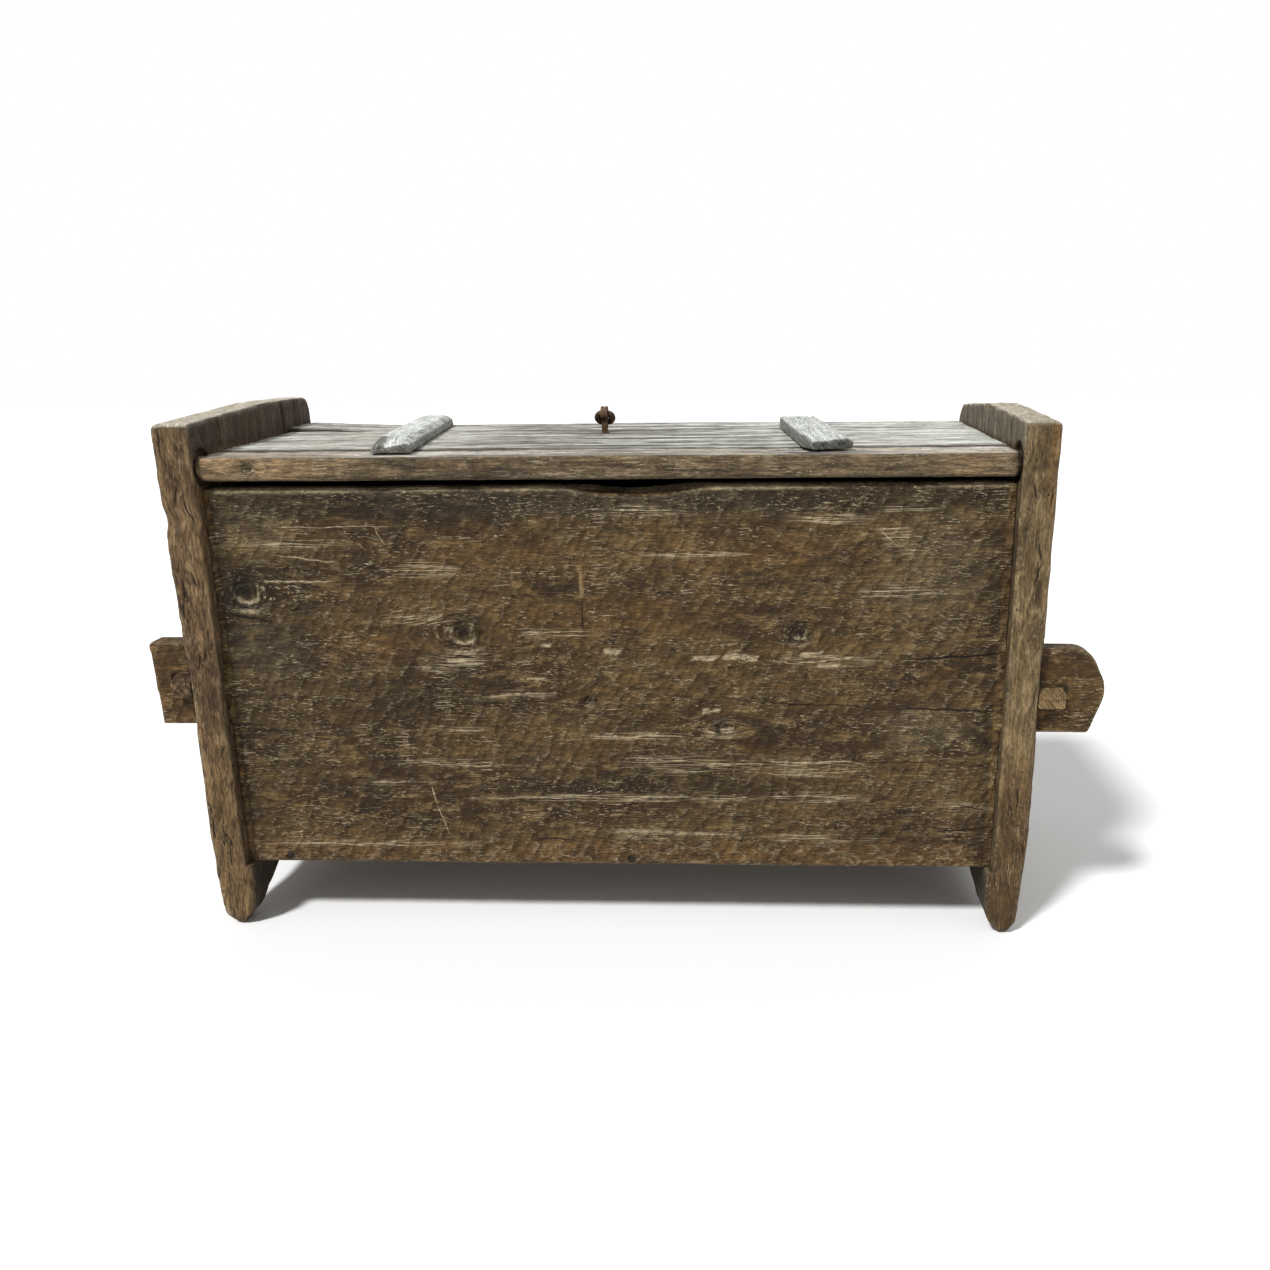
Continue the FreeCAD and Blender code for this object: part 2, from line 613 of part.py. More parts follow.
def edge_dowels(y):
    """Hidden dowels across a joint of the lid."""
    first = BODY_X - LID_HALF + DOWEL_MARGIN
    pitch = 2 * (LID_HALF - DOWEL_MARGIN) / (DOWEL_COUNT - 1)
    return [Part.makeCylinder(
        DOWEL_DIAMETER / 2, DOWEL_LENGTH,
        V(first + i * pitch, y - DOWEL_LENGTH / 2, DOWEL_Z), V(0, 1, 0))
        for i in range(DOWEL_COUNT)]


def pin_section(z, wide, deep):
    """Rectangle across the eye pin at a height."""
    x = BODY_X + EYE_X
    y = Y_NEAR + EYE_Y
    return Part.makePolygon([
        V(x - wide / 2, y - deep / 2, z), V(x + wide / 2, y - deep / 2, z),
        V(x + wide / 2, y + deep / 2, z), V(x - wide / 2, y + deep / 2, z),
        V(x - wide / 2, y - deep / 2, z)])


def spike():
    """Tapering square spike of the eye pin, down into the lid."""
    return Part.makeLoft([
        pin_section(LID_TOP - SPIKE_LENGTH, SPIKE_TIP, SPIKE_TIP),
        pin_section(LID_TOP, SHANK_FOOT_WIDTH, SHANK_DEPTH)], True)


def eye_pin():
    """Forged pin with a flattened eye, standing edge-on to the long side."""
    x = BODY_X + EYE_X
    y = Y_NEAR + EYE_Y
    shank = Part.makeLoft([
        pin_section(LID_TOP, SHANK_FOOT_WIDTH, SHANK_DEPTH),
        pin_section(EYE_Z - EYE_DIAMETER / 3, SHANK_WIDTH, SHANK_DEPTH)], True)
    start = V(x - EYE_THICKNESS / 2, y, EYE_Z)
    eye = Part.makeCylinder(EYE_DIAMETER / 2, EYE_THICKNESS, start, V(1, 0, 0))
    hole = Part.makeCylinder(EYE_HOLE / 2, EYE_THICKNESS + 4,
                             start - V(2, 0, 0), V(1, 0, 0))
    top = EYE_Z + EYE_DIAMETER / 2
    seam = box(x - EYE_SEAM_WIDTH / 2, x + EYE_SEAM_WIDTH / 2,
               y - EYE_DIAMETER, y + EYE_DIAMETER,
               top - EYE_SEAM_DEPTH, top + EYE_SEAM_DEPTH)
    pin = shank.fuse(eye).cut(hole).cut(seam)
    return pin.fuse(spike()).removeSplitter()


def ring_bend(side, bend, straight):
    """Half torus at one end of the ring, hanging from the origin."""
    centre = V(side * straight / 2, 0, -bend)
    whole = Part.makeTorus(bend, RING_WIRE / 2, centre, V(0, 1, 0))
    reach = bend + RING_WIRE
    half = box(0, reach, -reach, reach, -reach, reach)
    half.translate(centre + V((side - 1) * reach / 2, 0, 0))
    return whole.common(half)


def pull_ring():
    """Oblong forged ring through the eye, leaning back against the shank."""
    wire = RING_WIRE / 2
    drop = EYE_DIAMETER / 2 + wire + RING_PLAY
    straight = RING_WIDTH - RING_WIRE - drop
    ring = ring_bend(-1, drop / 2, straight).fuse(ring_bend(1, drop / 2, straight))
    for z in (0, -drop):
        start = V(-straight / 2, 0, z)
        ring = ring.fuse(Part.makeCylinder(wire, straight, start, V(1, 0, 0)))
    ring = ring.removeSplitter()
    away = SHANK_DEPTH / 2 + wire + RING_CLEARANCE
    lean = math.degrees(math.asin(away / drop))
    ring.rotate(V(0, 0, 0), V(1, 0, 0), lean)
    ring.translate(V(BODY_X + EYE_X, Y_NEAR + EYE_Y, EYE_Z))
    return ring


# ---- assembly -----------------------------------------------------------------------------
def build_carcass():
    parts = {}
    parts["right_end_board"] = right_end_board(RIGHT_TENON, *RIGHT_END)
    parts["left_end_board"] = mirror_x(right_end_board(LEFT_TENON, *LEFT_END))
    near_nails = nails()
    far_nails = [mirror_y(n) for n in near_nails]
    right_top = HINGE_PLANK_TOP + HINGE_PLANK_RISE
    near = side_plank(NEAR_PLANK_Y, HINGE_PLANK_TOP, right_top)
    near = near.cut(scoop(HINGE_PLANK_TOP + HINGE_PLANK_RISE / 2, NEAR_PLANK_Y))
    far = side_plank(FAR_PLANK_Y, OPENING_PLANK_TOP, OPENING_PLANK_TOP)
    parts["hinge_side_plank"] = near.cut(Part.makeCompound(near_nails))
    parts["opening_side_plank"] = far.cut(Part.makeCompound(far_nails))
    all_nails = Part.makeCompound(near_nails + far_nails)
    for index in range(FLOOR_BOARDS):
        name = "floor_board_%d" % (index + 1)
        parts[name] = floor_board(index).cut(all_nails)
    parts["hinge_side_nails"] = Part.makeCompound(near_nails)
    parts["opening_side_nails"] = Part.makeCompound(far_nails)
    return parts


def build_wedges():
    right_near = wedge(*RIGHT_WEDGE)
    left_near = mirror_x(wedge(*LEFT_WEDGE))
    return {
        "right_hinge_side_wedge": right_near,
        "right_opening_side_wedge": mirror_y(right_near),
        "left_hinge_side_wedge": left_near,
        "left_opening_side_wedge": mirror_y(left_near),
    }


def build_lid():
    left = Part.makeCompound(batten_pegs(*LEFT_BATTEN))
    right = Part.makeCompound(batten_pegs(*RIGHT_BATTEN))
    bores = Part.makeCompound([left, right])
    near_dowels = Part.makeCompound(edge_dowels(MAIN_Y))
    far_dowels = Part.makeCompound(edge_dowels(FREE_Y))
    parts = {}
    parts["lid_hinge_rail"] = hinge_rail().cut(bores).cut(near_dowels)
    plank = main_plank().cut(bores).cut(near_dowels)
    parts["lid_main_plank"] = plank.cut(far_dowels).cut(spike())
    parts["lid_free_board"] = free_board().cut(bores).cut(far_dowels)
    parts["lid_left_batten"] = batten(*LEFT_BATTEN, *LEFT_NOSE).cut(left)
    parts["lid_right_batten"] = batten(*RIGHT_BATTEN, *RIGHT_NOSE).cut(right)
    parts["lid_left_pegs"] = left
    parts["lid_right_pegs"] = right
    parts["lid_rail_dowels"] = near_dowels
    parts["lid_edge_dowels"] = far_dowels
    parts["eye_pin"] = eye_pin()
    parts["pull_ring"] = pull_ring()
    for shape in parts.values():
        shape.rotate(V(BODY_X, PIVOT_Y, PIVOT_Z), V(1, 0, 0), LID_SLOPE)
    return parts


def main():
    os.makedirs("parts", exist_ok=True)
    parts = {}
    parts.update(build_carcass())
    parts.update(build_wedges())
    parts.update(build_lid())
    for name, shape in parts.items():
        shape.exportStep("parts/%s.step" % name)


main()
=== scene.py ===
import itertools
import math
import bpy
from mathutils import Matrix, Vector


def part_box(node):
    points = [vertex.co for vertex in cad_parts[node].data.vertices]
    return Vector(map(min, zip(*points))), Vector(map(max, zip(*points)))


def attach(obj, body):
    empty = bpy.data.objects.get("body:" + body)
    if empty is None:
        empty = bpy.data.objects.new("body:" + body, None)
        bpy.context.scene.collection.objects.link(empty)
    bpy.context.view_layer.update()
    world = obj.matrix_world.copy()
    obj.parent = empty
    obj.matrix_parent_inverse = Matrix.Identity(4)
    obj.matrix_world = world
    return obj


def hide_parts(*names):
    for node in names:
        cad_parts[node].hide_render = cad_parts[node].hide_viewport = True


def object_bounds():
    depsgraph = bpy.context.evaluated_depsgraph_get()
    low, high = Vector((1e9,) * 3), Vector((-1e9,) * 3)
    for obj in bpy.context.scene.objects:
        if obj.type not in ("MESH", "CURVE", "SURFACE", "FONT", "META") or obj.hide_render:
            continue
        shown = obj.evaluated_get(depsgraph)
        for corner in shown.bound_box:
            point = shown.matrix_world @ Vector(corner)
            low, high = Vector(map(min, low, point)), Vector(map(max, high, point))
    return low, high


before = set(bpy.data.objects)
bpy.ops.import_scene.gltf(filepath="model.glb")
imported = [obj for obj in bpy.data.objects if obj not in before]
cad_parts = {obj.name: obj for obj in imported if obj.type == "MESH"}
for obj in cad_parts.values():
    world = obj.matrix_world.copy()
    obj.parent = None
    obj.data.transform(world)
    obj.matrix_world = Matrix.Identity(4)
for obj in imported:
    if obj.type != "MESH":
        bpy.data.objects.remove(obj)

# Looks of the old plank chest.  Each wooden node is remade as an even, fine
# mesh of the same shape, then worn inwards: adze scoops, raised grain, cracks,
# knots, nibbled arrises.  Blender's lengths are metres; the fields that shape
# and colour the wood are worked out in millimetres, in the part's own frame.
from types import SimpleNamespace
import bpy
import numpy as np
from mathutils import Matrix, Vector

CAD_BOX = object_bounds()
MM = 0.001


def show(thing):
    """Adds an object to the scene."""
    bpy.context.scene.collection.objects.link(thing)


# ---- places taken from the frame, mm ----
def node_box(node):
    low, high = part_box(node)
    return np.array(low) / MM, np.array(high) / MM


RIGHT_LOW, RIGHT_HIGH = node_box("right_end_board")
LEFT_LOW, LEFT_HIGH = node_box("left_end_board")
LID_LOW, LID_HIGH = node_box("lid_main_plank")
MIDDLE_X = (LEFT_LOW[0] + RIGHT_HIGH[0]) / 2
WEDGE_BOXES = {side: [node_box("%s_%s_side_wedge" % (end, side)) for end in ("left", "right")]
               for side in ("hinge", "opening")}
RAIL_END = node_box("lid_hinge_rail")[1][0]
NAILS_LOW, NAILS_HIGH = node_box("hinge_side_nails")
PINTLE_AT = (-198.0, 681.0)     # y and z of the lid's turning axis
POCKET_RADIUS = 26.5
SHOULDER_LENGTH = 23            # the right end of the rail that lies in its pocket
NAIL_HEAD = 5.0                 # half the width of a nail's square head
TENON_HEIGHT = 370              # z of the tenons' middle
LEDGE_HEIGHT = 118              # z of the ledges under the floor boards
NOTCH_HEIGHT = 612              # z of the broken spot on the left board's near edge
BODY_HALF = (RIGHT_LOW[0] - LEFT_HIGH[0]) / 2       # half of the room between the end boards
CHEST_LOW, CHEST_HIGH = (np.array(corner) / MM for corner in CAD_BOX)
CHEST_FRONT, CHEST_BACK = RIGHT_LOW[1], RIGHT_HIGH[1]
CROWN = RIGHT_HIGH[2]

# Marks on the hinge-side plank's face, in mm: x and z, then sizes.
KNOTS = [(-521, 508, 20), (-219, 450, 21), (250, 449, 12), (149, 312, 11), (-44, 352, 7)]
CRACKS = [
    (157, 353, 383, 339, 1.0), (383, 339, 534, 336, 1.5), (395, 409, 533, 420, 1.7),
    (449, 151, 533, 160, 1.5), (-563, 306, -467, 303, 1.2), (-51, 500, -50, 452, 1.0),
    (-300, 352, -40, 345, 0.7), (40, 240, 160, 236, 0.7), (470, 196, 530, 186, 1.0),
    (330, 262, 520, 255, 0.7), (-130, 137, -70, 133, 1.2), (-548, 489, -508, 480, 2.4),
    (-512, 480, -488, 471, 1.8), (-560, 517, -530, 521, 1.4), (-232, 433, -206, 428, 1.8),
    (-246, 462, -222, 468, 1.2), (233, 462, 262, 458, 1.3), (240, 441, 258, 444, 1.1),
]
SLIVER = (-52, 545, -50, 505, 1.6)
FLAKES = [
    (-10, 424, 13, 3.0), (120, 414, 20, 3.0), (160, 416, 18, 4.0), (185, 413, 9, 4.0),
    (-104, 433, 8, 3.0), (121, 334, 6, 4.0), (134, 334, 6, 4.0), (-118, 384, 14, 2.0),
    (268, 424, 16, 2.5), (-232, 419, 15, 2.5), (-208, 414, 15, 2.0), (292, 404, 16, 2.5),
]
STREAKS = [
    (-487, 557, -384, 551, 1.3), (-181, 517, -140, 517, 1.0), (-189, 360, -107, 361, 1.2),
    (-51, 298, 70, 298, 1.5), (-30, 306, 20, 292, 0.9), (-247, 308, -201, 308, 1.1),
    (-300, 254, -156, 254, 1.0), (-243, 202, 204, 203, 0.9), (-562, 126, -260, 126, 1.1),
    (-500, 512, -392, 526, 1.4), (30, 560, 174, 559, 1.1), (-138, 446, -40, 453, 0.9),
    (197, 262, 347, 258, 1.6), (197, 243, 300, 240, 1.0), (227, 409, 345, 413, 1.4),
    (236, 612, 330, 604, 1.0), (352, 600, 385, 566, 0.9), (-334, 603, -318, 575, 0.9),
    (-281, 221, -275, 190, 1.2), (-275, 190, -258, 142, 1.1), (-480, 598, -300, 602, 0.9),
]
COMBED = [
    (-450, 575, 80, 9), (-268, 540, 46, 13), (-280, 470, 52, 8), (-224, 413, 34, 12),
    (-260, 399, 40, 6), (100, 560, 80, 5), (-90, 450, 55, 7), (-148, 360, 55, 6),
    (10, 298, 80, 6), (-224, 306, 42, 6), (-228, 256, 90, 7), (-20, 203, 230, 6),
    (150, 309, 34, 14), (-400, 128, 170, 6), (110, 256, 120, 16), (272, 252, 86, 14),
    (270, 205, 80, 9), (476, 192, 50, 8), (272, 141, 90, 8), (290, 411, 66, 10),
    (385, 508, 70, 10), (286, 608, 58, 8), (400, 622, 48, 6), (375, 587, 24, 18),
    (-330, 225, 60, 5), (30, 620, 60, 8),
]
REDDISH = [(-180, 560, 130, 34), (160, 565, 150, 30), (-40, 470, 210, 34), (-330, 430, 110, 24)]
GREYISH = [(-500, 600, 60, 50), (-500, 420, 60, 60), (430, 540, 80, 90), (-40, 630, 300, 20),
           (430, 310, 70, 36)]
# DARKER patches along the top edge, near z 630, are partly painted shade under the lid's rail.
DARKER = [(-500, 410, 90, 190), (-280, 630, 120, 26), (120, 634, 160, 16), (330, 632, 90, 18),
          (-300, 360, 150, 60), (60, 220, 260, 26)]
TORN_BAND = (-30, 166, 136, 155)
SCALES_TOP = 134
RAIL_KNOT = (-497, 681, 7)
RAIL_TAN_LEFT, RAIL_TAN_RIGHT = (-330, -470), (420, 480)    # from weathered to tan along x
LID_BRIGHTENS = (-380, 420)     # the lid's top, from dull to bright along x
LID_OPEN_GRAIN = (60, 340, 200)     # the lid's dark streaks: middle, reach and core along x
TOE_ROUND = 26                  # the toes' worn rounding reaches this high


# ---- random fields ----
def cell_random(seed, *cells):
    """A fixed random number in 0..1 for each whole-numbered cell."""
    mixed = np.full(np.shape(cells[0]), seed * 40503 + 12289, dtype=np.uint64)
    for cell in cells:
        mixed = (mixed ^ cell.astype(np.int64).astype(np.uint64)) * np.uint64(0x9E3779B97F4A7C15)
        mixed ^= mixed >> np.uint64(29)
    return (mixed >> np.uint64(40)).astype(float) / float(1 << 24)


def soft_noise(seed, *axes):
    """Smooth random field in 0..1; the axes are counted in its cells."""
    floors = [np.floor(axis) for axis in axes]
    ramps = [(axis - low) ** 2 * (3 - 2 * (axis - low)) for axis, low in zip(axes, floors)]
    total = 0
    for corner in itertools.product((0, 1), repeat=len(axes)):
        weight = 1
        for side, ramp in zip(corner, ramps):
            weight = weight * (ramp if side else 1 - ramp)
        cells = [low + side for low, side in zip(floors, corner)]
        total = total + weight * cell_random(seed, *cells)
    return total


def rough_noise(seed, *axes):
    """Three octaves of soft noise, 0..1."""
    total = 0
    for octave, share in enumerate((0.57, 0.29, 0.14)):
        total = total + share * soft_noise(seed + octave, *[axis * 2 ** octave for axis in axes])
    return total


def step(values, low, high):
    t = np.clip((values - low) / (high - low), 0, 1)
    return t * t * (3 - 2 * t)


def adze_strokes(u, v, size, lean, seed):
    """Overlapping shallow scoops: depth, nearness to the scoop's rim, tone, all 0..1."""
    cos, sin = math.cos(lean), math.sin(lean)
    along = u * cos + v * sin
    across = v * cos - u * sin
    row = size * 0.62
    first, second = np.floor(along / size), np.floor(across / row)
    best = np.full(u.shape, -1.0)
    depth, rim, tone = np.zeros(u.shape), np.zeros(u.shape), np.full(u.shape, 0.5)
    for i, j in itertools.product((-1, 0, 1), (-2, -1, 0, 1, 2)):
        a, b = first + i, second + j
        r = [cell_random(seed + k, a, b) for k in range(5)]
        x = along - (a + r[0]) * size
        y = across - (b + r[1]) * row
        turn = (r[2] - 0.5) * 0.9
        s = (x * np.cos(turn) + y * np.sin(turn)) / (size * 0.72)
        t = (y * np.cos(turn) - x * np.sin(turn)) / (row * 1.05)
        q = s * s + t * t
        take = (q < 1) & (r[3] > best)
        best = np.where(take, r[3], best)
        depth = np.where(take, (1 - q) * (0.45 + 0.55 * r[4]), depth)
        rim = np.where(take, q ** 3 * np.clip(0.2 + 1.4 * s, 0, 1), rim)
        tone = np.where(take, 0.35 * r[4] + 0.65 * r[2], tone)
    return depth, rim, tone


def spots(u, v, marks):
    """Soft ellipses (u, v, half length, half height) with ragged rims, 0..1."""
    total = np.zeros(u.shape)
    ragged = 0.9 * (rough_noise(77, u / 26, v / 12) - 0.5)
    for at_u, at_v, half_u, half_v in marks:
        q = np.hypot((u - at_u) / half_u, (v - at_v) / half_v)
        total = np.maximum(total, step(q + ragged, 1.25, 0.45))
    return total


def segment_field(u, v, line):
    """Signed distance across a straight mark, and 0..1 along its run."""
    u0, v0, u1, v1 = line[:4]
    length = math.hypot(u1 - u0, v1 - v0)
    s = ((u - u0) * (u1 - u0) + (v - v0) * (v1 - v0)) / length ** 2
    t = ((v - v0) * (u1 - u0) - (u - u0) * (v1 - v0)) / length
    return t, np.clip(4 * s * (1 - s), 0, 1) ** 0.5


# ---- pieces of wood ----
# Stored on every vertex: strengths 0..1, and for the fine lines the signed
# distance from the nearest one with its half width, both in mm.
FIELDS = ("dark", "pale", "bleach", "tone", "warm", "combed",
          "crack", "crack_wide", "fresh", "fresh_wide")
FAR_OFF = 12.0


class Timber:
    """A CAD node's shape as a fine even mesh, worn and marked vertex by vertex."""

    def __init__(self, node, voxel, grain, seed):
        self.node, self.seed = node, seed
        blank = bpy.data.objects.new(node + "_blank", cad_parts[node].data.copy())
        show(blank)
        even = blank.modifiers.new("even", "REMESH")
        even.mode = "VOXEL"
        even.voxel_size = voxel * MM * 1
        graph = bpy.context.evaluated_depsgraph_get()
        self.mesh = bpy.data.meshes.new_from_object(blank.evaluated_get(graph))
        bpy.data.objects.remove(blank)
        count = len(self.mesh.vertices)
        flat = np.empty(count * 3)
        self.mesh.vertices.foreach_get("co", flat)
        self.start = flat.reshape(-1, 3) / MM
        self.mesh.vertices.foreach_get("normal", flat)
        self.normal = flat.reshape(-1, 3).copy()
        pairs = np.empty(len(self.mesh.edges) * 2, dtype=np.int32)
        self.mesh.edges.foreach_get("vertices", pairs)
        self.ends = pairs.reshape(-1, 2).T
        self.degree = np.bincount(pairs, minlength=count)
        self.x, self.y, self.z = self.start.T
        self.low, self.high = self.start.min(axis=0), self.start.max(axis=0)
        self.cad_low, self.cad_high = node_box(node)
        axes = [self.x, self.y, self.z]
        self.u = axes.pop("XYZ".index(grain))
        self.cross = axes
        self.v = axes[0] + axes[1]
        self.depth = np.zeros(count)
        self.move = np.zeros((count, 3))
        self.fields = {name: np.zeros(count) for name in FIELDS}
        self.fields["tone"] += 0.5
        self.fields["crack"] += FAR_OFF
        self.fields["fresh"] += FAR_OFF

    def at_least(self, field, values):
        self.fields[field] = np.maximum(self.fields[field], values)

    def lighten(self, amount):
        self.fields["tone"] += amount

    def neighbours(self, values):
        a, b = self.ends
        total = np.bincount(a, values[b], len(values)) + np.bincount(b, values[a], len(values))
        return total / self.degree

    def facing(self, axis, sign):
        return step(sign * self.normal[:, axis], 0.45, 0.8)

    def wear_arrises(self, passes, least, most, length=26, keep=None):
        """Pulls sharp edges towards their smoothed place, more in some spots than in others."""
        relaxed = [column.copy() for column in self.start.T]
        for _ in range(passes):
            relaxed = [self.neighbours(column) for column in relaxed]
        pull = np.array(relaxed).T - self.start
        share = soft_noise(self.seed, *(self.start / length).T)
        share = least + (most - least) * step(share, 0.25, 0.85)
        if keep is not None:
            share = np.where(keep, 0.15, share)
        self.move += pull * share[:, None]
        sharp = -(pull * self.normal).sum(axis=1)
        self.edge = np.clip(sharp / 1.6, 0, 1)
        self.at_least("pale", 0.45 * self.edge * share)
        self.at_least("dark", 0.6 * np.clip(-sharp / 1.2, 0, 1))

    def raise_grain(self, amount, width=9.0, length=110.0):
        """Long soft ridges along the grain."""
        self.depth += amount * rough_noise(self.seed + 10, self.u / length, self.v / width)

    def undulate(self, amount, length=160.0):
        self.depth += amount * soft_noise(self.seed + 20, *(self.start / length).T)

    def hew(self, weight, amount, size, lean, tone=0.34):
        depth, rim, shade = adze_strokes(self.u, self.v, size, lean, self.seed + 30)
        worn = 0.35 + 0.65 * step(soft_noise(self.seed + 37, self.u / 210, self.v / 150), 0.2, 0.75)
        self.depth += amount * depth * weight * worn
        self.lighten(weight * worn * tone * (shade - 0.5))
        # Painted highlight: a light edge along one side of each scoop's rim.
        broken = step(soft_noise(self.seed + 38, self.u / 30, self.v / 22), 0.35, 0.75)
        self.lighten(0.3 * rim * broken * weight * worn)
        self.at_least("dark", 0.22 * depth * (shade < 0.3) * weight * worn)

    def nibble(self, axis, side, reach, amount, length=38.0):
        """Moves an outer edge inwards by an uneven amount along the grain."""
        limit = self.high[axis] if side > 0 else self.low[axis]
        near = np.clip(1 - np.abs(self.start[:, axis] - limit) / reach, 0, 1)
        wander = rough_noise(self.seed + 40 + axis, self.u / length, self.v / (length * 4))
        self.move[:, axis] -= side * amount * near * step(wander, 0.35, 0.9)

    def edge_height(self, width):
        """The highest z near each vertex, in slices of the given width along x."""
        slices = np.floor((self.x - self.low[0]) / width).astype(int)
        crest = np.full(slices.max() + 1, -np.inf)
        np.maximum.at(crest, slices, self.z)
        middles = self.low[0] + (np.arange(len(crest)) + 0.5) * width
        return np.interp(self.x, middles, crest)

    def knot(self, u, v, radius, weight):
        """Grain swept round an eye with a dark, cracked rim, and a painted highlight below the eye."""
        du, dv = self.u - u, self.v - v
        close = np.exp(-(du / (3.2 * radius)) ** 2 - (dv / (2.4 * radius)) ** 2) * weight
        uneven = rough_noise(self.seed + 50, du / radius * 1.6, dv / radius * 1.6) - 0.5
        q = np.hypot(du / 1.15, dv) / radius * (1 + 0.7 * uneven)
        lobes = (0.5 + 0.5 * np.cos(2 * math.pi * (q / 0.42 + 0.7 * uneven))) ** 2
        broken = 0.3 + 0.7 * step(soft_noise(self.seed + 51, du / radius * 2.8, dv / radius * 2.4), 0.35, 0.6)
        rings = lobes * step(q, 1.5, 0.95) * broken * weight
        core = step(q, 0.34, 0.16) * weight
        self.v = self.v - radius * 0.9 * np.tanh(dv / (radius * 0.7)) * close
        self.depth += 2.2 * rings + 1.8 * core - 1.2 * close * step(q, 0.8, 1.3)
        self.at_least("dark", np.maximum(rings, core))
        self.lighten(-0.22 * step(q, 2.0, 1.1) * weight)
        # Painted highlight: pale crescents on the knot's lower side, where its hollow faces up.
        below = step(dv / radius, -0.1, -0.5) * np.exp(-(du / radius) ** 2)
        highlight_crescents = np.exp(-((q - 0.62) / 0.13) ** 2) + np.exp(-((q - 1.55) / 0.16) ** 2)
        self.at_least("pale", highlight_crescents * below * weight)

    def line(self, kind, line, weight):
        """Notes a fine mark for the material; returns its distance and its run."""
        across, inside = segment_field(self.u, self.v, line)
        across = across + 5 * (soft_noise(self.seed + 60, self.u / 45) - 0.5)
        across = across + 1.6 * (soft_noise(self.seed + 61, self.u / 11) - 0.5)
        distance, wide = self.fields[kind], self.fields[kind + "_wide"]
        nearer = (np.abs(across) < np.abs(distance)) & (inside > 0) & (weight > 0.05)
        distance[nearer] = np.clip(across, -FAR_OFF, FAR_OFF)[nearer]
        wide[nearer] = (line[4] * inside * weight * step(np.abs(across), 9, 6))[nearer]
        return np.abs(across), inside

    def crack(self, line, weight, deep=2.2):
        across, inside = self.line("crack", line, weight)
        groove = np.clip(1 - across / (line[4] * 1.5 + 0.6), 0, 1) * inside * weight
        self.depth += deep * groove

    def flake(self, mark, weight):
        u, v, half_length, half_width = mark
        ragged = 0.6 * (rough_noise(self.seed + 70, self.u / 8, self.v / 3) - 0.5)
        inside = 1 - np.maximum(np.abs(self.u - u) / half_length, np.abs(self.v - v) / half_width)
        inside = step(inside + ragged, 0.0, 0.18) * weight
        self.depth += 0.8 * inside
        self.at_least("pale", inside)

    def build(self, body, slot_name, material, pith, proud=0.0, aside=0.0):
        """Settles the vertices, stores the fields and puts the piece on its body.

        The face keeps its place on average, and may stand out of the node's
        own box by the proud height, but never out of the chest's.
        """
        depth = self.depth - np.percentile(self.depth, 40 if proud else 15)
        place = self.start + self.move - self.normal * depth[:, None]
        margin = np.array((proud + aside, proud, proud))
        place = np.clip(place, self.cad_low - margin, self.cad_high + margin)
        place = np.clip(place, CHEST_LOW, CHEST_HIGH)
        self.mesh.vertices.foreach_set("co", (place * MM).ravel())
        self.mesh.polygons.foreach_set("use_smooth", np.ones(len(self.mesh.polygons), dtype=bool))
        drift = soft_noise(self.seed + 80, self.u / 420) * 26 + soft_noise(self.seed + 81, self.u / 130) * 7
        ring = np.hypot(self.cross[0] - pith[0] + drift, self.cross[1] - pith[1] - drift)
        ring = ring + (self.v - self.cross[0] - self.cross[1])
        flow = np.array([self.u, self.v, ring]).T
        stored = self.mesh.attributes.new("flow", "FLOAT_VECTOR", "POINT")
        stored.data.foreach_set("vector", flow.astype(np.float32).ravel())
        for name, values in self.fields.items():
            low = -FAR_OFF if name in ("crack", "fresh") else 0
            stored = self.mesh.attributes.new(name, "FLOAT", "POINT")
            stored.data.foreach_set("value", np.clip(values, low, FAR_OFF).astype(np.float32))
        self.mesh.update()
        self.mesh.materials.clear()
        self.mesh.materials.append(material)
        piece = bpy.data.objects.new("worn_" + self.node, self.mesh)
        show(piece)
        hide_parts(self.node)
        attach(piece, body)


# ---- materials ----
LIGHT_LIFT = 0.8           # the wood's own colour against its look in this light


def paint(red, green, blue, share=1.0):
    """Linear colour from a screen colour's 0..255 values, less the studio light's lift."""
    return tuple((c / 255) ** 2.2 * share * LIGHT_LIFT for c in (red, green, blue)) + (1.0,)


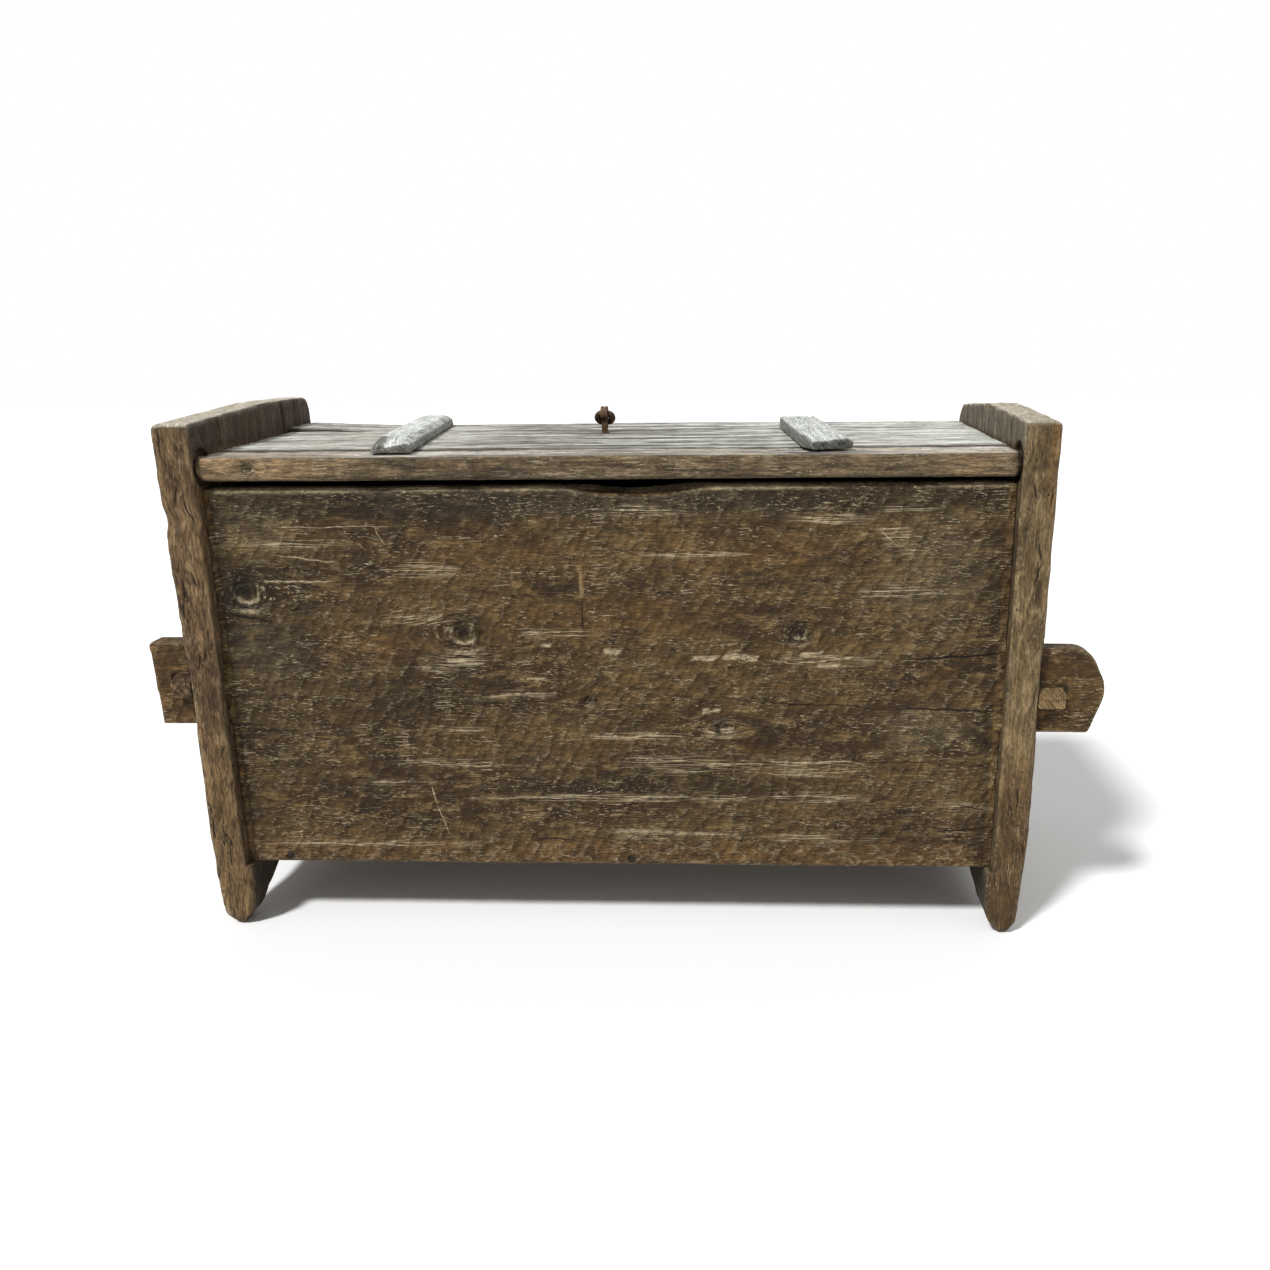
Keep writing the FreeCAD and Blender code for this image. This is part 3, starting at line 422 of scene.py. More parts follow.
class Nodes:
    """Short names for the shader nodes used here."""

    def __init__(self, owner, output, shader):
        self.owner = owner
        owner.use_nodes = True
        self.tree = owner.node_tree
        self.tree.nodes.clear()
        self.shader = self.add(shader)
        self.feed(self.add(output).inputs["Surface"], self.shader.outputs[0])

    def add(self, kind, **settings):
        node = self.tree.nodes.new(kind)
        for key, value in settings.items():
            setattr(node, key, value)
        return node

    def fill(self, node, **values):
        for name, value in values.items():
            self.feed(node.inputs[name], value)
        return node

    def feed(self, socket, value):
        if isinstance(value, bpy.types.NodeSocket):
            self.tree.links.new(value, socket)
        else:
            socket.default_value = value

    def math(self, operation, first, second=0.0, third=0.0, clamp=False):
        node = self.add("ShaderNodeMath", operation=operation, use_clamp=clamp)
        for socket, value in zip(node.inputs, (first, second, third)):
            self.feed(socket, value)
        return node.outputs[0]

    def times(self, first, second, clamp=False):
        return self.math("MULTIPLY", first, second, clamp=clamp)

    def mix(self, share, first, second, blend="MIX"):
        node = self.add("ShaderNodeMix", data_type="RGBA", blend_type=blend, clamp_factor=True)
        self.feed(node.inputs[0], share)
        self.feed(node.inputs[6], first)
        self.feed(node.inputs[7], second)
        return node.outputs[2]

    def band(self, value, low, high, to_low=0.0, to_high=1.0):
        node = self.add("ShaderNodeMapRange", interpolation_type="SMOOTHSTEP")
        for socket, given in zip(node.inputs, (value, low, high, to_low, to_high)):
            self.feed(socket, given)
        return node.outputs[0]

    def place(self, vector, size, turn=0.0, shift=(0.0, 0.0, 0.0)):
        """Coordinates counted in cells of the given size, turned by degrees."""
        node = self.add("ShaderNodeMapping", vector_type="TEXTURE")
        turned = (0.0, 0.0, math.radians(turn))
        return self.fill(node, Vector=vector, Location=shift, Rotation=turned, Scale=size).outputs[0]

    def texture(self, kind, placed, **settings):
        """A texture node that reads the placed coordinates as they are."""
        return self.fill(self.add(kind, **settings), Vector=placed, Scale=1.0)

    def noise(self, vector, size, detail=3.0, rough=0.55, shift=(0.0, 0.0, 0.0), twist=0.0):
        node = self.texture("ShaderNodeTexNoise", self.place(vector, size, 0.0, shift))
        return self.fill(node, Detail=detail, Roughness=rough, Distortion=twist).outputs[0]

    def cells(self, placed, feature):
        return self.texture("ShaderNodeTexVoronoi", placed, voronoi_dimensions="2D", feature=feature)

    def streaks(self, vector, size, turn, share, shift, reach=0.24):
        """Short scattered marks: 1 on a mark, 0 between them."""
        placed = self.place(vector, size, turn, shift)
        node = self.cells(placed, "F1")
        split = self.add("ShaderNodeSeparateColor")
        self.feed(split.inputs[0], node.outputs["Color"])
        chosen = self.math("GREATER_THAN", split.outputs[0], 1.0 - share)
        near = self.band(node.outputs["Distance"], reach, reach * 0.35)
        return self.times(near, self.times(chosen, split.outputs[1]))

    def stored(self, name, output="Fac"):
        return self.add("ShaderNodeAttribute", attribute_name=name).outputs[output]

    def split(self, vector):
        node = self.add("ShaderNodeSeparateXYZ")
        self.feed(node.inputs[0], vector)
        return node.outputs

    def join(self, *values):
        node = self.add("ShaderNodeCombineXYZ")
        for socket, value in zip(node.inputs, values):
            self.feed(socket, value)
        return node.outputs[0]

    def fine_line(self, kind):
        """1 on the fine lines stored as a distance and a half width."""
        distance, wide = self.stored(kind), self.stored(kind + "_wide")
        left = self.math("SUBTRACT", wide, self.math("ABSOLUTE", distance))
        return self.times(left, 1.6, clamp=True)

    def crackle(self, vector, size, thin):
        """Short broken checks between uneven cells."""
        placed = self.place(vector, size, 0.0, (3.0, 3.0, 0.0))
        node = self.cells(placed, "DISTANCE_TO_EDGE")
        return self.band(node.outputs["Distance"], thin, thin * 0.3)

    def most(self, values):
        total = values[0]
        for value in values[1:]:
            total = self.math("MAXIMUM", total, value)
        return total


def new_material(name):
    return Nodes(bpy.data.materials.new(name), "ShaderNodeOutputMaterial", "ShaderNodeBsdfPrincipled")


def bump(nodes, height, strength):
    node = nodes.fill(nodes.add("ShaderNodeBump"), Strength=strength, Distance=MM, Height=height)
    nodes.feed(nodes.shader.inputs["Normal"], node.outputs[0])


def wood(name, deep, body, light, bleached, scratch=(150, 132, 104), rings=0.3, ring_width=5.0,
         fibre=0.5, streak_share=0.3, blotch=1.0, silver=1.0, pits=0.0, warm=None,
         crackle=0.0, crackle_size=(17.0, 6.0, 1.0), scales=0.0, scales_turn=60.0, relief=0.9,
         hair_size=(15.0, 0.9, 12.0), chips=0.0, from_fields=True):
    """Weathered wood: rings, fibres, blotches, scratches, cracks and bleaching."""
    n = new_material(name)
    if from_fields:
        flow = n.stored("flow", "Vector")
        along, across, ring = n.split(flow)
        field = {key: n.stored(key) for key in ("dark", "pale", "bleach", "tone", "warm", "combed")}
    else:
        flow = n.place(n.add("ShaderNodeTexCoord").outputs["Object"], (MM, MM, MM))
        along, across, _ = n.split(flow)
        ring = across
        field = {"dark": 0.0, "pale": 0.0, "bleach": 0.0, "tone": 0.5, "warm": 0.0, "combed": 0.0}
    flat = n.join(along, across)

    broad = n.noise(flow, (240.0, 90.0, 120.0), 2.0)
    patch = n.noise(flow, (34.0, 15.0, 30.0), 5.0, 0.66, twist=0.5)
    grainy = n.noise(flow, (52.0, 2.4, 30.0), 5.0, 0.65)
    hair = n.noise(flow, hair_size, 4.0, 0.7)
    swing = n.noise(flow, (110.0, 30.0, 40.0), 2.0)
    swing = n.math("MULTIPLY_ADD", swing, 3.0, n.math("DIVIDE", ring, ring_width))
    late = n.band(n.math("PINGPONG", swing, 0.5), 0.28, 0.47)

    colour = n.mix(n.band(broad, 0.38, 0.62), paint(*deep), paint(*body))
    colour = n.mix(n.times(n.band(patch, 0.48, 0.66), 0.85 * blotch), colour, paint(*light))
    colour = n.mix(n.times(n.band(patch, 0.46, 0.32), 0.8 * blotch), colour, paint(*deep, 0.8))
    if warm:
        colour = n.mix(n.times(field["warm"], n.band(patch, 0.3, 0.6, 0.35, 1.0)), colour, paint(*warm))
    silvered = n.times(field["bleach"], silver)
    pale_body = n.mix(n.band(patch, 0.38, 0.62), paint(*bleached, 0.72), paint(*bleached))
    colour = n.mix(silvered, colour, pale_body)
    colour = n.mix(n.times(late, rings), colour, paint(*deep, 0.6), "MULTIPLY")
    dim = n.band(grainy, 0.34, 0.66, 1.0 - 0.55 * fibre, 1.0 + 0.4 * fibre)
    fine = n.band(hair, 0.34, 0.66, 1.0 - 0.45 * fibre, 1.0 + 0.45 * fibre)
    toned = n.band(field["tone"], 0.0, 1.0, 0.45, 1.55)
    factor = n.times(n.times(dim, fine), toned)
    colour = n.mix(1.0, colour, n.join(factor, factor, factor), "MULTIPLY")

    marks = [
        n.streaks(flat, (60.0, 3.6, 1.0), 2.0, streak_share, (3.0, 1.0, 0.0)),
        n.streaks(flat, (34.0, 2.8, 1.0), -3.0, streak_share, (11.0, 5.0, 0.0)),
    ]
    cover = n.band(n.noise(flow, (70.0, 34.0, 50.0), 4.0, 0.6, shift=(5.0, 50.0, 9.0)), 0.42, 0.62, 0.05, 1.0)
    marks = [n.times(n.times(n.most(marks), cover), 0.8)]
    if chips:
        marks.append(n.times(n.band(hair, 0.58, 0.62, 0.0, chips), cover))
    if scales:
        bent = n.join(along, n.math("MULTIPLY_ADD", patch, 26.0, across))
        placed = n.place(bent, (24.0, 12.0, 1.0), scales_turn)
        bowl = n.cells(placed, "F1")
        cut = n.times(bowl.outputs["Distance"], bowl.outputs["Distance"])
        where = n.band(broad, 0.35, 0.6, 0.45, 1.0)
        scooped = n.times(cut, where)
        # crest: a painted highlight along the scoops' rims, in the scratch colour.
        crest = n.times(n.band(cut, 0.28, 0.5), where)
        colour = n.mix(n.times(crest, n.band(hair, 0.46, 0.62, 0.0, 0.34)), colour, paint(*scratch))
    ragged = n.band(hair, 0.35, 0.6, 0.25, 1.0)
    if from_fields:
        fibres = n.noise(flow, (55.0, 1.5, 30.0), 3.0, 0.6, shift=(3.0, 2.0, 9.0))
        combed = n.times(n.band(fibres, 0.5, 0.6), field["combed"])
        marks += [n.times(combed, 0.85), n.times(n.fine_line("fresh"), ragged)]
    light_marks = n.most(marks)
    colour = n.mix(light_marks, colour, paint(*scratch))
    colour = n.mix(n.times(field["pale"], ragged), colour, paint(*scratch))
    dark = n.times(field["dark"], n.band(grainy, 0.3, 0.7, 1.0, 0.75), clamp=True)
    checks = n.streaks(flat, (170.0, 4.5, 1.0), 0.5, 0.22, (13.0, 3.0, 0.0), 0.16)
    short = n.streaks(flat, (26.0, 3.4, 1.0), -3.0, 0.3, (1.0, 13.0, 0.0), 0.22)
    darks = [dark, n.times(checks, 0.8), n.times(short, 0.6)]
    if from_fields:
        darks.append(n.fine_line("crack"))
    if crackle:
        broken = n.noise(flow, (30.0, 14.0, 30.0), 3.0, shift=(8.0, 1.0, 4.0))
        broken = n.band(broken, 0.45, 0.62, 0.0, crackle)
        darks.append(n.times(n.crackle(flat, crackle_size, 0.1), broken))
    if pits:
        darks.append(n.streaks(flat, (9.0, 6.0, 1.0), 0.0, pits, (2.0, 4.0, 0.0), 0.3))
    dark = n.most(darks)
    colour = n.mix(n.times(dark, 0.92), colour, paint(*deep, 0.12))
    n.feed(n.shader.inputs["Base Color"], colour)

    heights = [(grainy, 0.55), (late, 0.18), (light_marks, 0.25), (patch, 0.5), (dark, -0.9)]
    if scales:
        heights.append((scooped, scales))
    height = n.times(hair, 0.28)
    for pattern, share in heights:
        height = n.math("MULTIPLY_ADD", pattern, share, height)
    bump(n, height, relief)
    n.feed(n.shader.inputs["Roughness"], n.band(grainy, 0.2, 0.8, 0.66, 0.92))
    n.shader.inputs["Specular IOR Level"].default_value = 0.25
    return n.owner


def iron(name, share):
    """Forged iron: dark scale with brown rust in the hollows."""
    n = new_material(name)
    place = n.place(n.add("ShaderNodeTexCoord").outputs["Object"], (MM, MM, MM))
    broad = n.noise(place, (7.0, 7.0, 7.0), 4.0, 0.6)
    grit = n.noise(place, (0.9, 0.9, 0.9), 4.0, 0.7)
    rust = n.band(broad, 0.42, 0.62)
    colour = n.mix(rust, paint(60, 50, 38, share), paint(102, 74, 44, share))
    colour = n.mix(n.times(n.band(grit, 0.5, 0.75), 0.6), colour, paint(112, 90, 66, share))
    colour = n.mix(n.times(n.band(grit, 0.45, 0.25), 0.7), colour, paint(28, 23, 19, share))
    n.feed(n.shader.inputs["Base Color"], colour)
    n.feed(n.shader.inputs["Roughness"], n.band(grit, 0.3, 0.7, 0.5, 0.85))
    n.feed(n.shader.inputs["Metallic"], n.band(rust, 0.0, 1.0, 0.55, 0.1))
    bump(n, n.math("MULTIPLY_ADD", broad, 0.6, n.times(grit, 0.35)), 0.8)
    return n.owner


# ---- the pieces ----
def photo_marks(t, face, seed):
    """The marks that the photo shows on the hinge-side plank's face."""
    for u, v, radius in KNOTS:
        t.knot(u, v, radius, face)
    for line in CRACKS:
        t.crack(line, face)
    for line in STREAKS:
        t.line("fresh", line, face)
    for mark in FLAKES:
        t.flake(mark, face)
    t.at_least("combed", spots(t.x, t.z, COMBED) * face)
    t.at_least("warm", 0.35 * spots(t.x, t.z, REDDISH) * face)
    t.at_least("bleach", 0.24 * spots(t.x, t.z, GREYISH) * face)
    # Darker patches; those along the top edge are partly painted shade under the lid's rail.
    t.lighten(-0.21 * spots(t.x, t.z, DARKER) * face)
    for nail_x in (NAILS_LOW[0] + NAIL_HEAD, NAILS_HIGH[0] - NAIL_HEAD):
        around = np.hypot(t.x - nail_x, t.z - (NAILS_LOW[2] + NAILS_HIGH[2]) / 2)
        t.at_least("dark", step(around, 1.5 * NAIL_HEAD, NAIL_HEAD) * face)

    across, run = segment_field(t.x, t.z, SLIVER)
    sliver = step(np.abs(across), SLIVER[4] + 0.8, SLIVER[4] * 0.5) * run * face
    t.at_least("warm", FAR_OFF * sliver)
    t.at_least("pale", 0.5 * sliver)
    t.depth -= 0.6 * sliver

    left, right, bottom, top = TORN_BAND
    torn = step(t.x, left, left + 30) * step(t.x, right + 8, right - 4)
    torn = torn * step(t.z, bottom, bottom + 5) * step(t.z, top, top - 3) * face
    strips = rough_noise(seed + 90, t.u / 120, t.v / 4.2)
    t.depth += 1.6 * torn * strips
    t.at_least("pale", torn * step(strips, 0.35, 0.7) * 0.8)

    low = step(t.z, SCALES_TOP + 3, SCALES_TOP - 5) * face
    scoops, rim, shade = adze_strokes(t.x / 1.9, t.z, 15.0, 0.0, seed + 95)
    t.depth += 1.3 * low * scoops
    t.lighten(low * (0.3 * (shade - 0.4) - 0.2))
    # Painted highlight along one side of the low scoops' rims.
    t.at_least("pale", low * rim * 0.5)
    t.at_least("warm", 0.75 * low)


def guessed_marks(t, face, seed):
    """Knots and cracks on the plank that the photo doesn't show."""
    rng = np.random.default_rng(seed)
    for _ in range(5):
        t.knot(rng.uniform(-480, 460), rng.uniform(170, 600), rng.uniform(9, 19), face)
    for _ in range(6):
        u, v, run = rng.uniform(-520, 380), rng.uniform(140, 620), rng.uniform(90, 260)
        t.crack((u, v, u + run, v + rng.uniform(-12, 12), 1.3), face)


def side_plank(node, near_side, seed, material):
    """A hewn plank; near_side is -1 for the hinge side and +1 for the opening side."""
    hinge_side = near_side < 0
    t = Timber(node, 2.5 if hinge_side else 3.2, "X", seed)
    face, inside = t.facing(1, near_side), t.facing(1, -near_side)
    from_middle = np.abs(t.x - MIDDLE_X)
    shoulders = (np.abs(from_middle - BODY_HALF - 10) < 16) & (np.abs(t.normal[:, 2]) < 0.5)
    t.wear_arrises(4, 0.4, 1.0, keep=shoulders)
    t.undulate(1.4)
    t.raise_grain(0.6)
    t.hew(face, 1.9, 24.0, math.radians(52 * -near_side), 0.3)
    t.hew(inside, 0.7, 52.0, math.radians(20))
    within = step(BODY_HALF - from_middle, -2, 2)
    t.v = t.z.copy()
    t.nibble(2, 1, 9.0, 2.2)
    t.nibble(2, -1, 7.0, 2.0, 70.0)
    (photo_marks if hinge_side else guessed_marks)(t, face, seed)

    # The top edge: rolled, worn pale, with a dark strip below it, partly darker wood and partly painted shade
    # under the lid's rail.
    below_top = t.edge_height(12.0) - t.z
    rolled = step(below_top, 13, 0) ** 2 * within * (face + t.facing(2, 1)).clip(0, 1)
    t.move[:, 1] -= near_side * 5.0 * rolled
    worn_top = step(below_top, 8, 4) * within * step(rough_noise(seed + 91, t.u / 70, t.v / 14), 0.2, 0.6)
    t.at_least("bleach", 0.8 * worn_top)
    t.at_least("pale", 0.55 * worn_top)
    # Below the worn edge: darker wood and painted shade under the lid's rail.
    t.lighten(0.12 * worn_top - 0.54 * step(below_top, 52, 14) * (1 - worn_top) * within * face)

    # The tenons: browner than the plank, their slots in shadow.
    slotted = face if hinge_side else face + inside
    for low, high in WEDGE_BOXES["hinge" if hinge_side else "opening"]:
        out_x = np.maximum(np.maximum(low[0] - t.x, t.x - high[0]), 0)
        out_z = np.maximum(np.maximum(low[2] - t.z, t.z - high[2]), 0)
        shadow = step(np.hypot(out_x, out_z) + 3 * (t.z < low[2]), 6.5, 2.0) * slotted
        t.at_least("dark", shadow)
        t.depth += 1.5 * shadow
    tenon = 1 - within
    t.lighten(np.where(t.x > MIDDLE_X, 0.0, 0.08) * tenon)
    t.at_least("warm", 0.25 * tenon)
    # Painted shade on the inner face inside the chest, and on the face where it meets the end boards.
    t.lighten(-0.15 * inside * within)
    t.lighten(-0.26 * step(from_middle, BODY_HALF - 26, BODY_HALF - 2) * within * face)
    t.build("carcass", "hewn_wood", material, (t.low[1] + 70 * -near_side, 380), proud=1.0)


# How the end boards' looks differ; -1 is the left one and +1 the right one; crown sets the painted highlight
# on their tops.
END_LOOKS = {
    -1: SimpleNamespace(
        pitting=2.6, dim_above=0.16, dim_below=0.27, warm_below=0.6, warm_rim=0.2, spread=2.0,
        foot_spread=2.4, dim_inside=0.03, crown=0.3, dim_over_lid=0.55, washed=(0.02, 0.34, 0.5, 0.8),
        pocket_rim=1, pocket_dark=0.3, checks=36, pinch=0.48),
    1: SimpleNamespace(
        pitting=1.6, dim_above=0.14, dim_below=0.64, warm_below=0.8, warm_rim=0.7, spread=1.2,
        foot_spread=0.0, dim_inside=0.15, crown=0.12, dim_over_lid=0.05, washed=(0.3, 0.4, 0.4, 0.7),
        pocket_rim=4, pocket_dark=1.0, checks=10, pinch=0.3),
}


def end_board(node, side, seed, material):
    look = END_LOOKS[side]
    t = Timber(node, 3.0, "Z", seed)
    outer_x, inner_x = (t.low[0], t.high[0])[::-side]
    inner, outer = t.facing(0, -side), t.facing(0, side)
    near = t.facing(1, -1)
    t.wear_arrises(4, 0.15, 0.8, 30)
    end_grain = np.abs(t.normal[:, 2]) > 0.6
    t.u = np.where(end_grain, t.y, t.u)
    t.v = np.where(end_grain, t.x * 1.6, t.v)
    t.undulate(1.5)
    t.raise_grain(0.9, 8.0, 120.0)
    t.hew(inner, 0.8, 60.0, 0.3, 0.2)
    t.hew(outer, 1.2, 46.0, 0.4, 0.3)
    t.nibble(1, -1, 12.0, 2.2, 34.0)
    t.nibble(1, 1, 12.0, 3.0, 46.0)
    t.nibble(2, 1, 10.0, 1.2, 30.0)

    # The near face: pitted, browner low down, a little wider than the solid.
    pitted = rough_noise(seed + 90, t.z / 22, (t.x + t.y) / 6.5)
    t.depth += look.pitting * step(pitted, 0.42, 0.75) * near
    t.at_least("dark", 0.45 * step(pitted, 0.6, 0.78) * near)
    upper, lower = step(t.z, 560, 700), step(t.z, 330, 150)
    t.lighten(near * (0.18 - look.dim_above * upper - look.dim_below * lower))
    t.at_least("warm", near * look.warm_below * lower)
    spread = step(side * t.normal[:, 0], 0.1, 0.5) * step(np.abs(t.z - TENON_HEIGHT), 45, 70)
    t.move[:, 0] += side * spread * (look.spread + look.foot_spread * step(t.z, 170, 60))

    # The crown and the inner face above the lid: washed pale by rain, the tops and their arrises lightened
    # further as a painted highlight.
    t.lighten(-look.dim_inside * inner)
    top = step(t.z, LID_HIGH[2] + 6, LID_HIGH[2] + 26) * t.facing(2, 1)
    crest = step(rough_noise(seed + 94, t.y / 40, t.x / 9), 0.3, 0.6)
    t.at_least("bleach", (0.7 + 0.3 * crest) * top)
    # Painted highlight: the tops lightened beyond their bleach.
    t.lighten(look.crown * top)
    # Silver weathering along the top arrises, and a painted highlight on them.
    silvered = np.clip(1.6 * t.edge, 0, 1) * step(t.z, LID_HIGH[2] + 14, LID_HIGH[2] + 30) * (1 - near)
    t.at_least("bleach", silvered)
    t.lighten(0.2 * silvered)
    above = step(t.z, LID_HIGH[2] - 4, LID_HIGH[2] + 4)
    streak = rough_noise(seed + 92, t.u / 160, t.v / 11)
    least, more, low, high = look.washed
    t.at_least("bleach", inner * above * (least + more * step(streak, low, high)))
    t.lighten(-inner * above * look.dim_over_lid)
    rim = step(side * (t.x - outer_x), -22, -6)
    t.at_least("warm", near * rim * upper * look.warm_rim)
    t.at_least("bleach", outer * 0.25 * step(streak, 0.3, 0.8))

    # Damage: the notch, the pocket's shade, cracks.
    if side < 0:
        notch = np.exp(-((t.z - NOTCH_HEIGHT) / 13) ** 2) * np.clip(1 - (t.y - CHEST_FRONT) / 12, 0, 1)
        t.move[:, 1] += 5 * notch
        t.move[:, 0] += 3 * notch
    socket = np.hypot(t.y - PINTLE_AT[0], t.z - PINTLE_AT[1])
    socket = step(socket, POCKET_RADIUS + look.pocket_rim, POCKET_RADIUS - 1) * (1 - near) * (1 - outer)
    t.at_least("dark", socket * look.pocket_dark)
    rng = np.random.default_rng(seed)
    for _ in range(look.checks):
        z, v = rng.uniform(60, CROWN), rng.uniform(t.low[0], t.high[0]) + CHEST_FRONT
        run = rng.uniform(14, 38)
        t.crack((z, v, z + run, v + rng.uniform(-8, 8), 1.3), near, 2.4)
    for _ in range(7):
        y, run = rng.uniform(CHEST_FRONT + 40, CHEST_BACK - 40), rng.uniform(50, 190)
        v = y + outer_x
        t.crack((CROWN - run, v, CROWN + run, v + rng.uniform(-4, 4), 1.6), outer, 2.6)
        v = y + inner_x
        t.crack((CROWN - run, v, CROWN + run, v + rng.uniform(-4, 4), 1.4), inner * above, 2.0)

    # The feet: painted shade on their inner faces under the floor, darker low down, their toes rounded.
    # Painted shade below the ledge on the inner face, darkest behind the near edge.
    shade_under_floor = step(t.z, LEDGE_HEIGHT, LEDGE_HEIGHT - 26) * inner
    t.lighten(-0.3 * shade_under_floor)
    hidden = step(t.y - CHEST_FRONT, 10, 24) * step(CHEST_BACK - t.y, 10, 24)
    t.at_least("dark", 0.8 * shade_under_floor * hidden)
    for foot in (t.y < 0, t.y > 0):
        toe = foot & (t.z < t.low[2] + 6)
        middle, half = (t.x[toe].max() + t.x[toe].min()) / 2, np.ptp(t.x[toe]) / 2
        pinch = foot * step(t.z, TOE_ROUND, 0) ** 1.5
        t.move[:, 0] -= look.pinch * pinch * (t.x - middle)
        t.move[:, 2] += 6 * pinch * np.clip(np.abs(t.x - middle) / half, 0, 1) ** 3
    # Darker towards the bottom, in uneven patches.
    low_darkening = step(t.z, 60, 5)
    t.at_least("dark", 0.25 * low_darkening * rough_noise(seed + 93, t.u / 30, t.v / 12))
    pith = ((t.low[0] + t.high[0]) / 2 + 60 * side, 12)
    t.build("carcass", "end_wood", material, pith, proud=1.5, aside=3.0)


def lid_board(node, voxel, seed, top_bleach):
    t = Timber(node, voxel, "X", seed)
    up, under = t.facing(2, 1), t.facing(2, -1)
    near = t.facing(1, -1)
    t.wear_arrises(3, 0.3, 0.95)
    t.undulate(1.2, 190.0)
    ridges = rough_noise(seed + 5, t.u / 260, t.v / 7.5)
    t.depth += 1.4 * step(ridges, 0.3, 0.7) * up
    t.raise_grain(0.6)
    t.hew(under, 0.6, 58.0, 0.3, 0.2)
    t.hew(near, 0.9, 44.0, 0.15, 0.2)
    t.nibble(2, 1, 4.0, 1.4, 50.0)
    rng = np.random.default_rng(seed)
    for _ in range(5):
        end = t.high[0] if rng.random() < 0.6 else t.low[0]
        v = rng.uniform(t.low[1] + 8, t.high[1] - 8) + t.high[2]
        run = rng.uniform(70, 260)
        t.crack((end - run, v, end + run, v + rng.uniform(-5, 5), 1.3), up, 2.4)
    bands = rough_noise(seed + 6, t.u / 330, t.v / 17)
    side = step(t.x, *LID_BRIGHTENS)
    t.at_least("bleach", top_bleach * up * (0.62 + 0.38 * side))
    t.lighten(-up * (0.3 - 0.2 * side) * step(bands, 0.4, 0.7))
    t.at_least("dark", 0.6 * step(ridges, 0.5, 0.8) * up * (1 - 0.5 * side))
    white = rough_noise(seed + 8, t.u / 95, t.v / 6.5)
    t.at_least("pale", step(white, 0.5, 0.6) * up * (0.6 + 0.4 * side))
    open_grain = rough_noise(seed + 9, t.u / 170, t.v / 6.0)
    middle = step(np.abs(t.x - LID_OPEN_GRAIN[0]), *LID_OPEN_GRAIN[1:])
    t.at_least("dark", step(open_grain, 0.53, 0.62) * up * (0.4 + 0.55 * middle))
    t.lighten(-up * (0.15 * middle - 0.1 * (1 - side)))
    joint = np.minimum(t.y - t.low[1], t.high[1] - t.y)
    joint = step(joint, 7.0, 3.0) * up * (t.y > LID_LOW[1] - 8)
    t.depth += 1.5 * joint
    t.at_least("dark", joint)
    if node == "lid_hinge_rail":
        t.move[:, 2] -= 1.6 * up
        inland = step(t.x, -430, -300)
        t.at_least("bleach", up * (0.5 + 0.5 * inland))
        t.lighten(0.16 * up * inland)
    else:
        t.at_least("dark", near)
    # Painted shade on the boards' undersides.
    t.lighten(-0.12 * under)
    return t


def batten(node, seed, material, splintered):
    t = Timber(node, 1.7, "Y", seed)
    t.wear_arrises(8, 0.3, 0.9, 14)
    t.raise_grain(0.9, 5.0, 70.0)
    t.undulate(0.8, 60.0)
    up = t.facing(2, 1)
    near = t.facing(1, -1)
    flank = np.clip(t.facing(0, 1) + t.facing(0, -1), 0, 1)
    t.fields["bleach"] += 0.25 + 0.7 * up - 0.15 * near
    t.lighten((0 if splintered else 0.1) - 0.3 * near - 0.2 * flank)
    # Painted shade low on the sides, where the batten meets the lid.
    t.lighten(-0.1 * step(t.z, t.low[2] + 14, t.low[2] + 2) * (1 - up))
    pocks = soft_noise(seed + 3, t.x / 6, t.y / 26)
    t.depth += 1.8 * step(pocks, 0.74, 0.92) * up
    t.at_least("dark", 0.7 * step(pocks, 0.78, 0.92) * up)
    seams = soft_noise(seed + 6, t.x / 3.4, t.y / 80)
    t.at_least("dark", 0.55 * step(seams, 0.78, 0.95) * up)
    reach = 26.0 if splintered else 12.0
    near_end = np.clip(1 - (t.y - t.low[1]) / reach, 0, 1)
    comb = rough_noise(seed + 4, t.x / 6.0, t.z / 9.0)
    slope = (t.x - t.low[0]) / (t.high[0] - t.low[0])
    back = 3.5 * step(comb + 0.35 * (slope - 0.5), 0.4, 0.75) if splintered else 2.5 * comb
    if not splintered:
        beak = step(-t.normal[:, 1], 0.08, 0.2) * step(slope, 0.66, 0.5)
        beak = beak * step(t.y, t.low[1] + 80, t.low[1] + 60)
        t.fields["bleach"] -= 0.95 * beak
        t.lighten(-0.42 * beak)
    t.move[:, 1] += near_end ** 1.3 * back
    t.at_least("dark", 0.15 * near)
    t.build("lid", "batten_wood", material, (0, 660))


def wedge(node, seed, material, battered):
    t = Timber(node, 1.2, "Y", seed)
    t.wear_arrises(6, 0.3, 0.9, 10)
    from_head = t.y - t.low[1] if t.low[1] < 0 else t.high[1] - t.y
    head = np.clip(1 - from_head / 14, 0, 1)
    t.raise_grain(0.5, 4.0, 40.0)
    end = np.clip(t.facing(1, 1) + t.facing(1, -1), 0, 1)
    split = (t.z - t.low[2]) / (t.high[2] - t.low[2]) + 0.25 * (rough_noise(seed + 7, t.x / 9, t.z / 9) - 0.5)
    t.lighten(end * (0.16 - 0.34 * step(split, 0.4, 0.5) * step(split, 0.62, 0.5)))
    if battered:
        t.depth += 1.6 * (1 - head)
        lumps = rough_noise(seed + 4, t.x / 5, t.z / 5)
        t.depth += 4.0 * head * lumps
        t.at_least("bleach", 0.25 * head)
        # Painted highlight on the lumps' crowns and painted shade in their hollows.
        t.at_least("pale", 0.75 * step(lumps, 0.42, 0.3) * head)
        t.at_least("dark", 0.8 * step(lumps, 0.52, 0.7) * head)
    t.build(node, "wedge_wood", material, (0, 300))


